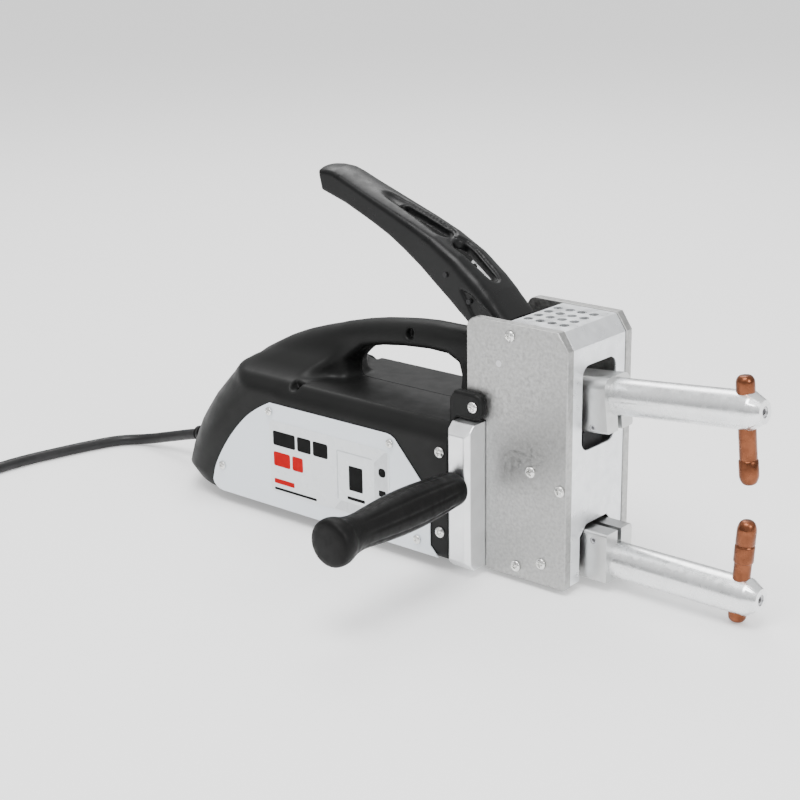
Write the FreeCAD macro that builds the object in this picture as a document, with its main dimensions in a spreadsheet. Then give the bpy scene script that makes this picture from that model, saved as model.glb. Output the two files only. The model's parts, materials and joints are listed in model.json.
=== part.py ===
import FreeCAD, Part
import Sketcher
import math
import os
import re

# Portable lever-operated spot welder.
# Frame: +X from the housing towards the electrodes, +Y to the tool's left, +Z up, millimetres.
# The origin is the middle of the front foot's underside, below the transverse plate.
# A welding head of two thick side plates stands in front of the transverse plate. The moulded
# housing with the transformer and the carry handle is behind it. The lever pushes a rocker that
# carries the upper arm; the lower arm is fixed.

Vector = FreeCAD.Vector
doc = FreeCAD.newDocument("spot_welder")

SIZES = {
    # overall
    "base_z": 8.5,            # underside of the housing
    "plate_low": 4.5,         # underside of the head plates
    "gap": 0.3,               # clearance between separate bodies
    # transverse plate
    "flange_back": -10.0,
    "flange_front": 10.3,
    "flange_half": 62.0,
    "flange_low": 6.0,
    "flange_top": 119.3,
    "flange_corner": 8.0,
    "flange_edge": 3.4,
    "window_half": 24.0,
    "window_low": 14.0,
    "window_top": 102.0,
    "stud_r": 5.0,
    "stud_z": 71.9,
    "stud_depth": 28.0,
    # head side plates
    "head_front": 82.0,
    "head_half": 40.3,
    "plate_thick": 7.5,
    "plate_back": -6.8,
    "plate_top": 196.0,
    "plate_step": 119.8,
    "chamfer_x": 8.4,
    "chamfer_z": 12.6,
    "plate_corner_r": 8.5,
    # sheet cover over the front and the top
    "sheet": 1.5,
    "cover_inset": 0.6,
    "cover_half": 32.4,
    "cover_back": 26.0,
    "slot_half": 21.0,
    "slot_low": 105.0,
    "slot_top": 168.3,
    "slot_r": 8.0,
    "cutout_top": 48.1,
    "cutout_corner": 8.0,
    "vent_r": 3.6,
    "vent_along": 10.4,
    "vent_across": 12.3,
    # pivots
    "pivot_x": 51.0,
    "pivot_z": 89.0,
    "lever_x": 22.0,
    "lever_z": 165.0,
    "arm_tilt": 5.5,          # the open upper arm rises forward
    "stroke": 9.2,            # the rocker's travel to the closed tips
    "shaft_r": 6.0,
    "pin_r": 5.0,
    "bush_r": 8.0,
    "hub_r": 12.0,
    "fit": 0.05,
    # upper arm and rocker, in the rocker's own frame: origin on its shaft, x along the arm
    "arm_r": 13.5,
    "arm_rise": 51.6,
    "arm_start": 24.0,
    "arm_cone": 158.5,
    "arm_end": 167.7,
    "cone_r": 8.2,
    "block_half": 16.5,
    "block_front": 51.8,
    "block_back": 12.0,
    "block_low": 27.0,
    "block_high": 67.0,
    "slit": 5.0,
    "clamp_x": 39.6,
    "clamp_z": 31.0,
    "rocker_half": 12.0,
    "tail_depth": 24.0,
    # lower arm
    "low_z": 21.3,
    "low_block_front": 101.5,
    "low_block_back": 48.0,
    "low_block_low": 7.0,
    "low_block_high": 45.0,
    "low_arm_start": 74.0,
    "low_arm_cone": 208.0,
    "low_arm_end": 217.3,
    "low_clamp_x": 90.0,
    "low_clamp_z": 38.6,
    # electrodes
    "tip_x": 204.4,           # face of the lower cap
    "tip_z": 77.3,
    "tip_gap": 1.0,           # between the caps when closed on two sheets
    "shank_r": 6.2,
    "cap_r": 6.9,
    "cap_length": 18.0,
    "holder_r": 7.1,
    "knob_r": 6.5,
    "upper_knob": 24.5,       # arm axis to the top of the knob
    "lower_knob": 20.3,
    # fasteners
    "head_r": 4.2,
    "head_h": 2.6,
    "screw_r": 2.5,
    # housing
    "shell_half": 57.5,
    "shell_front": -11.0,
    "shell_wall": 3.0,
    "shell_end": -317.0,
    "shell_corner": 45.0,
    "side_top": 106.0,
    "deck_top": 115.5,
    "deck_half": 49.5,
    "grip_half": 14.0,
    "panel_thick": 1.2,
    "label_thick": 0.4,
    "lug_outer": 48.0,
    "lug_front": 12.0,
    "lug_low": 119.8,
    "lug_top": 140.5,
    "lug_screw_x": 4.5,
    "lug_screw_z": 130.6,
    # lever
    "lever_half": 21.5,
    "lever_wall": 4.0,
    "cheek_in": 14.6,
    "cheek_out": 17.4,
    "bar_r": 6.85,
    "bar_x": 24.2,
    "bar_z": 138.5,
    # side handle
    "handle_root": 62.5,
    "handle_end": 201.0,
    # transformer
    "core_half": 34.0,
    "core_low": 16.0,
    "core_top": 104.0,
    "core_back": -140.0,
    "core_front": -60.0,
    "coil_half": 49.0,
    "bus_half": 13.0,
    # feet and cord
    "foot_half": 30.0,
    "cord_r": 4.75,
    "coil_x": -520.0,
    "coil_y": -196.0,
    "coil_in": 38.25,
    "coil_out": 66.75,
    "coil_high": 19.0,
    "plug_x": -588.0,
    "plug_y": -262.0,
    "plug_z": 17.5,
    "entry_x": -311.0,        # where the cord passes the rear wall
    "entry_z": 31.3,
    "entry_slope": 11.0,
}

sheet = doc.addObject("Spreadsheet::Sheet", "sizes")
for row, (alias, number) in enumerate(SIZES.items(), start=1):
    sheet.set(f"A{row}", alias)
    sheet.set(f"B{row}", str(number))
    sheet.setAlias(f"B{row}", alias)
doc.recompute()

parts = {}


def formula(text):
    """Point each cell name of a formula at the spreadsheet."""
    def qualified(word):
        return "sizes." + word[0] if word[0] in SIZES else word[0]

    return re.sub(r"[a-z][a-z0-9_]*", qualified, str(text))


def bind(item, formulas):
    for prop, text in formulas.items():
        item.setExpression(prop, formula(text))
    return item


def node(name, item):
    """Keep a finished sub-part under its node name."""
    item.Label = name
    parts[name] = item
    return item


def place(item, x=0, y=0, z=0):
    return bind(item, {"Placement.Base.x": x, "Placement.Base.y": y, "Placement.Base.z": z})


def box(name, low, size):
    """A box from its low corner and its three sizes, all formulas."""
    item = doc.addObject("Part::Box", name)
    bind(item, {"Length": size[0], "Width": size[1], "Height": size[2]})
    return place(item, *low)


TURNS = {
    "x": FreeCAD.Rotation(Vector(0, 1, 0), 90),
    "y": FreeCAD.Rotation(Vector(1, 0, 0), -90),
    "z": FreeCAD.Rotation(),
}


def rod(name, radius, length, start, axis="y"):
    """A cylinder that runs from start along +axis."""
    item = doc.addObject("Part::Cylinder", name)
    item.Placement = FreeCAD.Placement(Vector(), TURNS[axis])
    bind(item, {"Radius": radius, "Height": length})
    return place(item, *start)


def cone(name, radius1, radius2, length, start, axis="x"):
    item = doc.addObject("Part::Cone", name)
    item.Placement = FreeCAD.Placement(Vector(), TURNS[axis])
    bind(item, {"Radius1": radius1, "Radius2": radius2, "Height": length})
    return place(item, *start)


def fuse(name, *items):
    item = doc.addObject("Part::MultiFuse", name)
    item.Shapes = list(items)
    return item


def group(name, *items):
    """Separate solids that belong to one node."""
    item = doc.addObject("Part::Compound", name)
    item.Links = list(items)
    return item


def cut(name, base, *tools):
    item = doc.addObject("Part::Cut", name)
    item.Base = base
    item.Tool = tools[0] if len(tools) == 1 else fuse(name + "_tools", *tools)
    return item


def mirror(name, source):
    """The same piece on the tool's other side."""
    item = doc.addObject("Part::Mirroring", name)
    item.Source = source
    item.Normal = Vector(0, 1, 0)
    return item


PLANES = {"xy": "XY_Plane", "xz": "XZ_Plane", "yz": "YZ_Plane"}


def plane_of(body, plane):
    return [item for item in body.Origin.OriginFeatures if item.Role == PLANES[plane]][0]


def sketch_outline(body, name, plane, points, offset):
    """A closed outline whose corners are formula pairs, on a plane moved along its normal."""
    sketch = body.newObject("Sketcher::SketchObject", name)
    sketch.AttachmentSupport = (plane_of(body, plane), [""])
    sketch.MapMode = "FlatFace"
    bind(sketch, {"AttachmentOffset.Base.z": offset})
    doc.recompute()
    count = len(points)
    for index in range(count):
        angle = 2 * math.pi * index / count
        following = 2 * math.pi * (index + 1) / count
        start = Vector(50 * math.cos(angle), 50 * math.sin(angle), 0)
        end = Vector(50 * math.cos(following), 50 * math.sin(following), 0)
        sketch.addGeometry(Part.LineSegment(start, end), False)
    for index in range(count):
        sketch.addConstraint(Sketcher.Constraint("Coincident", index, 2, (index + 1) % count, 1))
    for index, point in enumerate(points):
        for kind, text in zip(("DistanceX", "DistanceY"), point):
            number = sketch.addConstraint(Sketcher.Constraint(kind, -1, 1, index, 1, 1.0))
            sketch.setExpression(f"Constraints[{number}]", formula(text))
    doc.recompute()
    return sketch


def prism(name, plane, points, thick, offset="0", rounds=()):
    """A PartDesign pad of an outline. rounds holds (corner numbers, radius formula) pairs.

    The pad grows along the plane's normal: +Z for xy, +X for yz, -Y for xz."""
    body = doc.addObject("PartDesign::Body", name)
    sketch = sketch_outline(body, name + "_outline", plane, points, offset)
    pad = body.newObject("PartDesign::Pad", name + "_pad")
    pad.Profile = sketch
    bind(pad, {"Length": thick})
    doc.recompute()
    for corners, radius in rounds:
        feature = body.Tip
        edges = corner_edges(sketch, feature, corners)
        fillet = body.newObject("PartDesign::Fillet", f"{name}_round_{corners[0]}")
        fillet.Base = (feature, edges)
        bind(fillet, {"Radius": radius})
        doc.recompute()
    return body


def corner_edges(sketch, feature, corners):
    """The straight edges that rise from the given corners of a sketch."""
    normal = sketch.Placement.Rotation.multVec(Vector(0, 0, 1))
    found = []
    for corner in corners:
        spot = sketch.Placement.multVec(sketch.Geometry[corner].StartPoint)
        for number, edge in enumerate(feature.Shape.Edges, start=1):
            ends = [vertex.Point - spot for vertex in edge.Vertexes]
            if len(ends) == 2 and all(end.cross(normal).Length < 0.01 for end in ends):
                found.append(f"Edge{number}")
    return found


def loft(name, sections):
    """A ruled PartDesign loft through outlines given as (height formula, points)."""
    body = doc.addObject("PartDesign::Body", name)
    sketches = []
    for number, (height, points) in enumerate(sections):
        sketches.append(sketch_outline(body, f"{name}_section_{number}", "xy", points, height))
    feature = body.newObject("PartDesign::AdditiveLoft", name + "_loft")
    feature.Profile = sketches[0]
    feature.Sections = sketches[1:]
    feature.Ruled = True
    doc.recompute()
    return body


def turned(name, stations):
    """A body of revolution about +Z through (radius, height) stations."""
    body = doc.addObject("PartDesign::Body", name)
    points = [("0", stations[0][1])] + list(stations) + [("0", stations[-1][1])]
    sketch = sketch_outline(body, name + "_profile", "xz", points, "0")
    turn = body.newObject("PartDesign::Revolution", name + "_turn")
    turn.Profile = sketch
    turn.ReferenceAxis = (sketch, ["V_Axis"])
    turn.Angle = 360
    doc.recompute()
    return body


def screws(name, spots, y, head_r="head_r", shank="9.5", shank_r="screw_r", side=-1):
    """Pan-head screws that stand on a face at y and run inwards along Y."""
    solids = []
    for number, (x, z) in enumerate(spots):
        start = f"{y} - head_h" if side < 0 else y
        head = rod(f"{name}_head_{number}", head_r, "head_h", (x, start, z))
        inner = y if side < 0 else f"{y} - {shank}"
        stem = rod(f"{name}_stem_{number}", shank_r, shank, (x, inner, z))
        solids.append(fuse(f"{name}_{number}", head, stem))
    return solids


def holes(name, spots, radius, low, length):
    """Round cutters along Y for a row of screws."""
    return [rod(f"{name}_{number}", radius, length, (x, low, z)) for number, (x, z) in enumerate(spots)]


# ---------------------------------------------------------------- transverse plate
plate_face = prism(
    "plate_face", "yz",
    [("-flange_half", "flange_low + flange_corner"), ("-flange_half + flange_corner", "flange_low"),
     ("flange_half - flange_corner", "flange_low"), ("flange_half", "flange_low + flange_corner"),
     ("flange_half", "flange_top - flange_corner"), ("flange_half - flange_corner", "flange_top"),
     ("-flange_half + flange_corner", "flange_top"), ("-flange_half", "flange_top - flange_corner")],
    "flange_front - flange_back", "flange_back")
plate_plan = prism(
    "plate_plan", "xy",
    [("flange_back", "-flange_half + flange_edge"), ("flange_back + flange_edge", "-flange_half"),
     ("flange_front - flange_edge", "-flange_half"), ("flange_front", "-flange_half + flange_edge"),
     ("flange_front", "flange_half - flange_edge"), ("flange_front - flange_edge", "flange_half"),
     ("flange_back + flange_edge", "flange_half"), ("flange_back", "flange_half - flange_edge")],
    "flange_top - flange_low", "flange_low")
plate_blank = doc.addObject("Part::Common", "plate_blank")
plate_blank.Base = plate_face
plate_blank.Tool = plate_plan
node("transverse_plate", cut(
    "transverse_plate", plate_blank,
    box("plate_window", ("flange_back - 1", "-window_half", "window_low"),
        ("flange_front - flange_back + 2", "2 * window_half", "window_top - window_low")),
    rod("stud_hole_right", "stud_r", "stud_depth", ("0", "-flange_half", "stud_z")),
    rod("stud_hole_left", "stud_r", "stud_depth", ("0", "flange_half - stud_depth", "stud_z"))))

# ---------------------------------------------------------------- head side plates
COVER_SCREWS = [("32", "187"), ("76.5", "80")]
BASE_SCREWS = [("61", "20.5"), ("38.5", "13")]
PIVOT_SCREW = [("pivot_x", "pivot_z")]
LUG_SCREW = [("lug_screw_x", "lug_screw_z")]
plate_blank_right = prism(
    "head_plate", "xz",
    [("flange_front + gap", "plate_low"), ("head_front", "plate_low"),
     ("head_front", "plate_top - chamfer_z"), ("head_front - chamfer_x", "plate_top"),
     ("plate_back", "plate_top"), ("plate_back", "plate_step"), ("flange_front + gap", "plate_step")],
    "plate_thick", "head_half - plate_thick", rounds=[((4,), "plate_corner_r")])
side_plate_right = node("side_plate_right", cut(
    "side_plate_right", plate_blank_right,
    *holes("plate_hole", COVER_SCREWS + BASE_SCREWS + PIVOT_SCREW + LUG_SCREW, "screw_r + fit",
           "-head_half - 1", "plate_thick + 2"),
    rod("plate_pin_hole", "2.5", "plate_thick + 2", ("lever_x", "-head_half - 1", "lever_z"))))
node("side_plate_left", mirror("side_plate_left", side_plate_right))

head_screws = screws("head_screw", COVER_SCREWS + BASE_SCREWS + PIVOT_SCREW, "-head_half")
head_screw_group = group("head_screw_group", *head_screws)
node("head_screws", group("head_screws", head_screw_group, mirror("head_screws_left", head_screw_group)))

# ---------------------------------------------------------------- bent cover sheet
cover_profile = prism(
    "cover_profile", "xz",
    [("head_front - cover_inset", "plate_low + 1"),
     ("head_front - cover_inset", "plate_top - chamfer_z - 0.3"),
     ("head_front - chamfer_x - 0.4", "plate_top - cover_inset"), ("cover_back", "plate_top - cover_inset"),
     ("cover_back", "plate_top - cover_inset - sheet"),
     ("head_front - chamfer_x - 1.1", "plate_top - cover_inset - sheet"),
     ("head_front - cover_inset - sheet", "plate_top - chamfer_z - 0.7"),
     ("head_front - cover_inset - sheet", "plate_low + 1")],
    "2 * cover_half", "-cover_half")
upper_slot = prism(
    "upper_slot", "yz",
    [("-slot_half", "slot_low"), ("slot_half", "slot_low"), ("slot_half", "slot_top"),
     ("-slot_half", "slot_top")],
    "10", "head_front - 7", rounds=[((0, 1, 2, 3), "slot_r")])
lower_cutout = prism(
    "lower_cutout", "yz",
    [("-slot_half", "0"), ("slot_half", "0"), ("slot_half", "cutout_top - cutout_corner"),
     ("slot_half - cutout_corner", "cutout_top"), ("-slot_half + cutout_corner", "cutout_top"),
     ("-slot_half", "cutout_top - cutout_corner")],
    "10", "head_front - 7")
vents = []
for line in range(4):
    for column in range(4):
        across = f"({column} - 1.5) * vent_across"
        along = f"cover_back + 6 + {line} * vent_along"
        vents.append(rod(f"vent_{line}_{column}", "vent_r", "6", (along, across, "plate_top - 4"), "z"))
cover_tabs = []
for number, (x, z) in enumerate(COVER_SCREWS):
    rear = f"({x} - 8)"
    front = "head_front - cover_inset - sheet - " + rear if number else "16"
    top = "12" if number else f"plate_top - cover_inset - sheet - {z} + 6"
    low = (rear, "-cover_half", f"{z} - 6")
    cover_tabs.append(box(f"cover_tab_{number}", low, (front, "sheet", top)))
cover_tabs_right = cut("cover_tabs_right", fuse("cover_tabs", *cover_tabs),
                       *holes("tab_hole", COVER_SCREWS, "screw_r + fit", "-head_half", "12"))
cover_tabs_left = mirror("cover_tabs_left", cover_tabs_right)
cover_sheet = fuse("cover_sheet", cover_profile, cover_tabs_right, cover_tabs_left)
node("front_cover", cut("front_cover", cover_sheet, upper_slot, lower_cutout, *vents))

# ---------------------------------------------------------------- fixed shaft and pin of the head
shaft = rod(
    "shaft_bar", "shaft_r", "2 * (head_half - plate_thick)",
    ("pivot_x", "-(head_half - plate_thick)", "pivot_z"))
shaft_bore = rod("shaft_bore", "screw_r + fit", "80", ("pivot_x", "-40", "pivot_z"))
node("rocker_shaft", cut("rocker_shaft", shaft, shaft_bore))
node("lever_pin", fuse(
    "lever_pin",
    rod("lever_pin_bar", "pin_r", "2 * (head_half - plate_thick)",
        ("lever_x", "-(head_half - plate_thick)", "lever_z")),
    rod("lever_pin_ends", "2.45", "2 * head_half", ("lever_x", "-head_half", "lever_z"))))
spring_ring = cut(
    "spring_ring", rod("spring_outer", "8.5", "9", ("lever_x", "head_half - plate_thick - 9", "lever_z")),
                  rod("spring_inner", "6", "11", ("lever_x", "head_half - plate_thick - 10", "lever_z")))
node("return_springs", group("return_springs", spring_ring, mirror("spring_ring_right", spring_ring)))

# ---------------------------------------------------------------- rocker and upper arm
upper_pieces = []


def upper(name, item):
    """A piece modelled in the rocker's frame, set at the open arm's tilt."""
    item.Placement = FreeCAD.Placement(Vector(), FreeCAD.Rotation(Vector(0, 1, 0), -SIZES["arm_tilt"]))
    place(item, "pivot_x", "0", "pivot_z")
    upper_pieces.append(item)
    return node(name, item)


rocker_web = prism(
    "rocker_web", "xz",
    [("-9", "-tail_depth"), ("1", "-tail_depth"), ("9", "-11"), ("12", "0"), ("block_back", "block_high"),
     ("-18.3", "66.3"), ("-11.3", "41.3"), ("-11", "4"), ("-9", "-9")],
    "2 * rocker_half", "-rocker_half")
rocker_hub = rod(
    "rocker_hub", "hub_r", "2 * (head_half - plate_thick - 0.5)",
    ("0", "-(head_half - plate_thick - 0.5)", "0"))
rocker_blank = fuse("rocker_blank", rocker_web, rocker_hub)
upper("rocker", cut("rocker", rocker_blank, rod("rocker_bore", "bush_r + 0.02", "80", ("0", "-40", "0"))))
bush = cut("bush", rod("bush_outer", "bush_r", "14", ("0", "-(head_half - plate_thick - 0.5)", "0")),
           rod("bush_inner", "shaft_r + fit", "16", ("0", "-(head_half - plate_thick + 0.5)", "0")))
upper("rocker_bushes", group("rocker_bushes", bush, mirror("bush_left", bush)))

upper_block_blank = prism(
    "upper_block_blank", "yz",
    [("-block_half", "block_low"), ("block_half", "block_low"), ("block_half", "block_high"),
     ("-block_half", "block_high")],
    "block_front - block_back", "block_back", rounds=[((2, 3), "8"), ((0, 1), "2.5")])
upper("upper_clamp_block", cut(
    "upper_clamp_block", upper_block_blank,
    rod("upper_bore", "arm_r + fit", "60", ("block_back - 5", "0", "arm_rise"), "x"),
    box("upper_slit", ("block_back - 1", "-slit / 2", "block_low - 1"),
        ("block_front - block_back + 2", "slit", "arm_rise - block_low")),
    rod("upper_clamp_hole", "2.6", "2 * block_half + 2", ("clamp_x", "-block_half - 1", "clamp_z"))))
upper("upper_clamp_screw", cut(
    "upper_clamp_screw",
    rod("upper_screw_bar", "2.5", "2 * block_half - 1", ("clamp_x", "-block_half + 0.5", "clamp_z")),
    rod("upper_screw_socket", "1.4", "3", ("clamp_x", "-block_half", "clamp_z"))))

upper_arm_bar = fuse(
    "upper_arm_bar",
    rod("upper_arm_tube", "arm_r", "arm_cone - arm_start", ("arm_start", "0", "arm_rise"), "x"),
    cone("upper_arm_nose", "arm_r", "cone_r", "arm_end - arm_cone", ("arm_cone", "0", "arm_rise")))
CLOSED_TILT = "(arm_tilt - stroke)"
TIP_ALONG = f"((tip_x - pivot_x) * cos{CLOSED_TILT} + (tip_z - pivot_z) * sin{CLOSED_TILT})"
upper("upper_arm", cut(
    "upper_arm", upper_arm_bar,
    rod("upper_cross_hole", "shank_r + fit", "40", (TIP_ALONG, "0", "arm_rise - 20"), "z"),
    rod("upper_socket", "4.1", "8.5", ("arm_end - 8", "0", "arm_rise"), "x")))
upper("upper_end_screw", cut(
    "upper_end_screw",
    rod("upper_end_bar", "4", "6.2", ("arm_end - 7", "0", "arm_rise"), "x"),
    rod("upper_end_hex", "2.2", "4", ("arm_end - 4", "0", "arm_rise"), "x")))

# The cap faces meet at the lower tip when the rocker has turned by its stroke.
TIP_DROP = f"((tip_x - pivot_x) * sin({CLOSED_TILT} * -1) + (tip_z - pivot_z) * cos{CLOSED_TILT} + tip_gap)"
upper("upper_electrode", fuse(
    "upper_electrode",
    rod("upper_shank", "shank_r", f"arm_rise + upper_knob - 3 - ({TIP_DROP} + cap_length)",
        (TIP_ALONG, "0", f"{TIP_DROP} + cap_length"), "z"),
    rod("upper_knob_body", "knob_r", "upper_knob - arm_r - 6",
        (TIP_ALONG, "0", "arm_rise + arm_r + 1"), "z"),
    cone("upper_knob_top", "knob_r", "knob_r * 0.55", "5",
         (TIP_ALONG, "0", "arm_rise + upper_knob - 5"), "z")))
cap_shape = turned("cap_shape", [
    ("cap_r", "0"), ("cap_r", "cap_length - 6"), ("cap_r * 0.87", "cap_length - 2.5"),
    ("cap_r * 0.5", "cap_length")])
upper_cap_piece = doc.addObject("Part::Feature", "upper_cap_piece")
lower_cap_piece = doc.addObject("Part::Feature", "lower_cap_piece")

# ---------------------------------------------------------------- lower arm
low_block_blank = prism(
    "low_block_blank", "yz",
    [("-block_half", "low_block_low"), ("block_half", "low_block_low"), ("block_half", "low_block_high"),
     ("-block_half", "low_block_high")],
    "low_block_front - low_block_back", "low_block_back", rounds=[((0, 1, 2, 3), "2.5")])
node("lower_clamp_block", cut(
    "lower_clamp_block", low_block_blank,
    rod("low_bore", "arm_r + fit", "50", ("62", "0", "low_z"), "x"),
    box("low_slit", ("low_block_back + 14", "-slit / 2", "low_z"), ("60", "slit", "40")),
    rod("low_clamp_hole", "2.6", "2 * block_half + 2", ("low_clamp_x", "-block_half - 1", "low_clamp_z"))))
node("lower_clamp_screw", cut(
    "lower_clamp_screw",
    rod("low_screw_bar", "2.5", "2 * block_half - 1", ("low_clamp_x", "-block_half + 0.5", "low_clamp_z")),
    rod("low_screw_socket", "1.4", "3", ("low_clamp_x", "-block_half", "low_clamp_z"))))
insulator = cut(
    "insulator", box("insulator_pad", ("50", "-(head_half - plate_thick - 0.1)", "12"),
                     ("24", "head_half - plate_thick - 0.1 - block_half - 0.1", "32")),
    rod("insulator_hole", "screw_r + fit", "12", ("61", "-head_half", "20.5")))
node("arm_insulators", group("arm_insulators", insulator, mirror("insulator_left", insulator)))
low_arm_bar = fuse(
    "low_arm_bar",
    rod("low_arm_tube", "arm_r", "low_arm_cone - low_arm_start", ("low_arm_start", "0", "low_z"), "x"),
    cone("low_arm_nose", "arm_r", "cone_r", "low_arm_end - low_arm_cone", ("low_arm_cone", "0", "low_z")))
low_cross = rod("low_cross_hole", "shank_r + fit", "60", ("0", "0", "0"), "z")
low_cross.Placement = FreeCAD.Placement(
    Vector(), FreeCAD.Rotation(Vector(0, 1, 0), SIZES["stroke"] - SIZES["arm_tilt"]))
LOW_LEAN = "tan(stroke - arm_tilt)"
place(low_cross, f"tip_x - tip_z * {LOW_LEAN}", "0", "0")
node("lower_arm", cut(
    "lower_arm", low_arm_bar, low_cross,
    rod("low_socket", "4.1", "6.2", ("low_arm_end - 6", "0", "low_z"), "x")))
node("lower_end_screw", cut(
    "lower_end_screw",
    rod("low_end_bar", "4", "5", ("low_arm_end - 5.8", "0", "low_z"), "x"),
    rod("low_end_hex", "2.2", "4", ("low_arm_end - 4", "0", "low_z"), "x")))

# The lower electrode's own frame has its cap face at z 0.
low_electrode = fuse(
    "lower_electrode",
    rod("low_shank", "shank_r", "tip_z - cap_length - 6", ("0", "0", "-tip_z + 6"), "z"),
    rod("low_holder", "holder_r", "13", ("0", "0", "-cap_length - 13"), "z"),
    rod("low_knob_body", "knob_r", "lower_knob - arm_r - 5.5", ("0", "0", "-tip_z + 6"), "z"),
    cone("low_knob_end", "knob_r * 0.55", "knob_r", "5", ("0", "0", "-tip_z + 1"), "z"))
low_electrode.Placement = FreeCAD.Placement(
    Vector(), FreeCAD.Rotation(Vector(0, 1, 0), SIZES["stroke"] - SIZES["arm_tilt"]))
place(low_electrode, "tip_x", "0", "tip_z")
node("lower_electrode", low_electrode)

# ---------------------------------------------------------------- lever
lever_outer = prism(
    "lever_outer", "xz",
    [("-169", "265.5"), ("-144", "258"), ("-117", "247"), ("-84.5", "230.5"), ("-52.5", "208.3"),
     ("-24", "187"),
     ("2", "164"), ("12", "154"), ("26", "153"), ("33", "162"), ("31", "174"), ("14", "189"), ("4", "200"),
     ("-14", "217.5"), ("-34", "231.5"), ("-57", "244"), ("-80", "252.8"), ("-112", "264.5"),
     ("-139", "274.5"),
     ("-158", "283.5"), ("-173", "284")],
    "2 * lever_half", "-lever_half", rounds=[((0, 20), "2")])
lever_inner = prism(
    "lever_inner", "xz",
    [("-146", "245"), ("-146", "269"), ("-112", "257.5"), ("-80", "246"), ("-57", "237.5"), ("-34", "225"),
     ("-16", "211.5"), ("-3", "198"), ("8", "189"), ("40", "188"), ("40", "140"), ("0", "140"),
     ("-60", "180"),
     ("-100", "210")],
    "2 * (lever_half - lever_wall)", "-(lever_half - lever_wall)")
lever_bore = rod("lever_bore", "pin_r + fit", "60", ("lever_x", "-30", "lever_z"))
lever_openings = []
for number, (x, reach) in enumerate([("-107", "48"), ("-49", "38")]):
    lever_openings.append(prism(
        f"lever_opening_{number}", "xy",
        [(x, "-8"), (f"{x} + {reach}", "-8"), (f"{x} + {reach}", "8"), (x, "8")],
        "60", "215", rounds=[((0, 1, 2, 3), "7")]))
LEVER_SCREWS = [("-20", "200"), ("-42", "217")]
node("lever", cut("lever", lever_outer, lever_inner, lever_bore, *lever_openings,
                  *holes("lever_hole", LEVER_SCREWS, "2.05", "-30", "60")))
cheek_blank = prism(
    "cheek_blank", "xz",
    [("14", "134"), ("22", "130"), ("32", "134"), ("33", "160"), ("30", "175"), ("8", "186"),
     ("-44", "222"),
     ("-50", "214"), ("-20", "190"), ("8", "168"), ("12", "150")],
    "cheek_out - cheek_in", "cheek_in")
cheek = cut(
    "cheek", cheek_blank, rod("cheek_pin_bore", "pin_r + fit", "60", ("lever_x", "-30", "lever_z")),
    rod("cheek_bar_bore", "3.05", "60", ("bar_x", "-30", "bar_z")),
    *holes("cheek_hole", LEVER_SCREWS, "2.05", "-30", "60"))
node("lever_cheeks", group("lever_cheeks", cheek, mirror("cheek_left", cheek)))
node("thrust_bar", fuse(
    "thrust_bar",
    rod("thrust_bar_body", "bar_r", "2 * (cheek_in - 0.1)", ("bar_x", "-(cheek_in - 0.1)", "bar_z")),
    rod("thrust_bar_ends", "3", "2 * cheek_out", ("bar_x", "-cheek_out", "bar_z"))))
lever_screws = [
    rod(f"lever_screw_{number}", "2", "7.2", (x, "-21.8", z)) for number, (x, z) in enumerate(LEVER_SCREWS)]
lever_screw_group = group("lever_screw_group", *lever_screws)
lever_screws_left = mirror("lever_screws_left", lever_screw_group)
node("lever_screws", group("lever_screws", lever_screw_group, lever_screws_left))

# ---------------------------------------------------------------- trigger switch
node("switch_body", cut(
    "switch_body", box("switch_case", ("19.2", "-5", "63"), ("20", "10", "14")),
    rod("switch_bore", "1.85", "6", ("34.2", "0", "70.2"), "x")))
node("switch_plunger", rod("switch_plunger", "1.8", "5.5", ("36.2", "0", "70.2"), "x"))
node("switch_bracket", fuse(
    "switch_bracket", box("bracket_foot", ("flange_front", "-30", "58"), ("2", "60", "24")),
    box("bracket_arm", ("flange_front + 1", "-5", "60.5"), ("27", "10", "2.4"))))

# ---------------------------------------------------------------- cord
# The cord leaves the strain relief, comes down to the floor, turns to the right and runs to its coil.
ROUTE = [
    (-280, 0, 34.2), (-311, 0, 31.3), (-344, 0.5, 24.5), (-381, 1, 13.5), (-411, -1, 5.2),
    (-430, -17, 4.75),
    (-440, -45, 4.75), (-449, -80, 4.75), (-456, -113, 4.75), (-457, -146, 4.75), (-458.2, -178, 4.75),
]
TAIL = [(-526, -257.8, 14.25), (-549, -259.5, 14.6), (-573, -261.2, 15.8), (-596, -261.8, 17)]


def cord_path(points):
    """Straight runs joined by tangent arcs, each as large as its two runs allow."""
    points = [Vector(*point) for point in points]
    edges = []
    start = points[0]
    for before, corner, after in zip(points, points[1:], points[2:]):
        inward = (corner - before).normalize()
        outward = (after - corner).normalize()
        turn = inward.getAngle(outward)
        setback = 0.45 * min((corner - before).Length, (after - corner).Length)
        radius = setback / math.tan(turn / 2)
        first = corner - inward * setback
        last = corner + outward * setback
        bisector = (outward - inward).normalize()
        centre = corner + bisector * (radius / math.cos(turn / 2))
        middle = centre - bisector * radius
        edges.append(Part.LineSegment(start, first).toShape())
        edges.append(Part.Arc(first, middle, last).toShape())
        start = last
        print(f"cord arc radius {radius:.0f} mm, turn {math.degrees(turn):.0f} degrees")
    edges.append(Part.LineSegment(start, points[-1]).toShape())
    return Part.Wire(edges)


def cord_solid(points):
    path = cord_path(points)
    start = path.Edges[0]
    begin = start.FirstParameter
    circle = Part.makeCircle(SIZES["cord_r"], start.valueAt(begin), start.tangentAt(begin))
    solid = path.makePipeShell([Part.Wire(circle)], True, True)
    expected = math.pi * SIZES["cord_r"] ** 2 * path.Length
    print(f"cord length {path.Length:.0f} mm, volume ratio {solid.Volume / expected:.4f}")
    return solid


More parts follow.
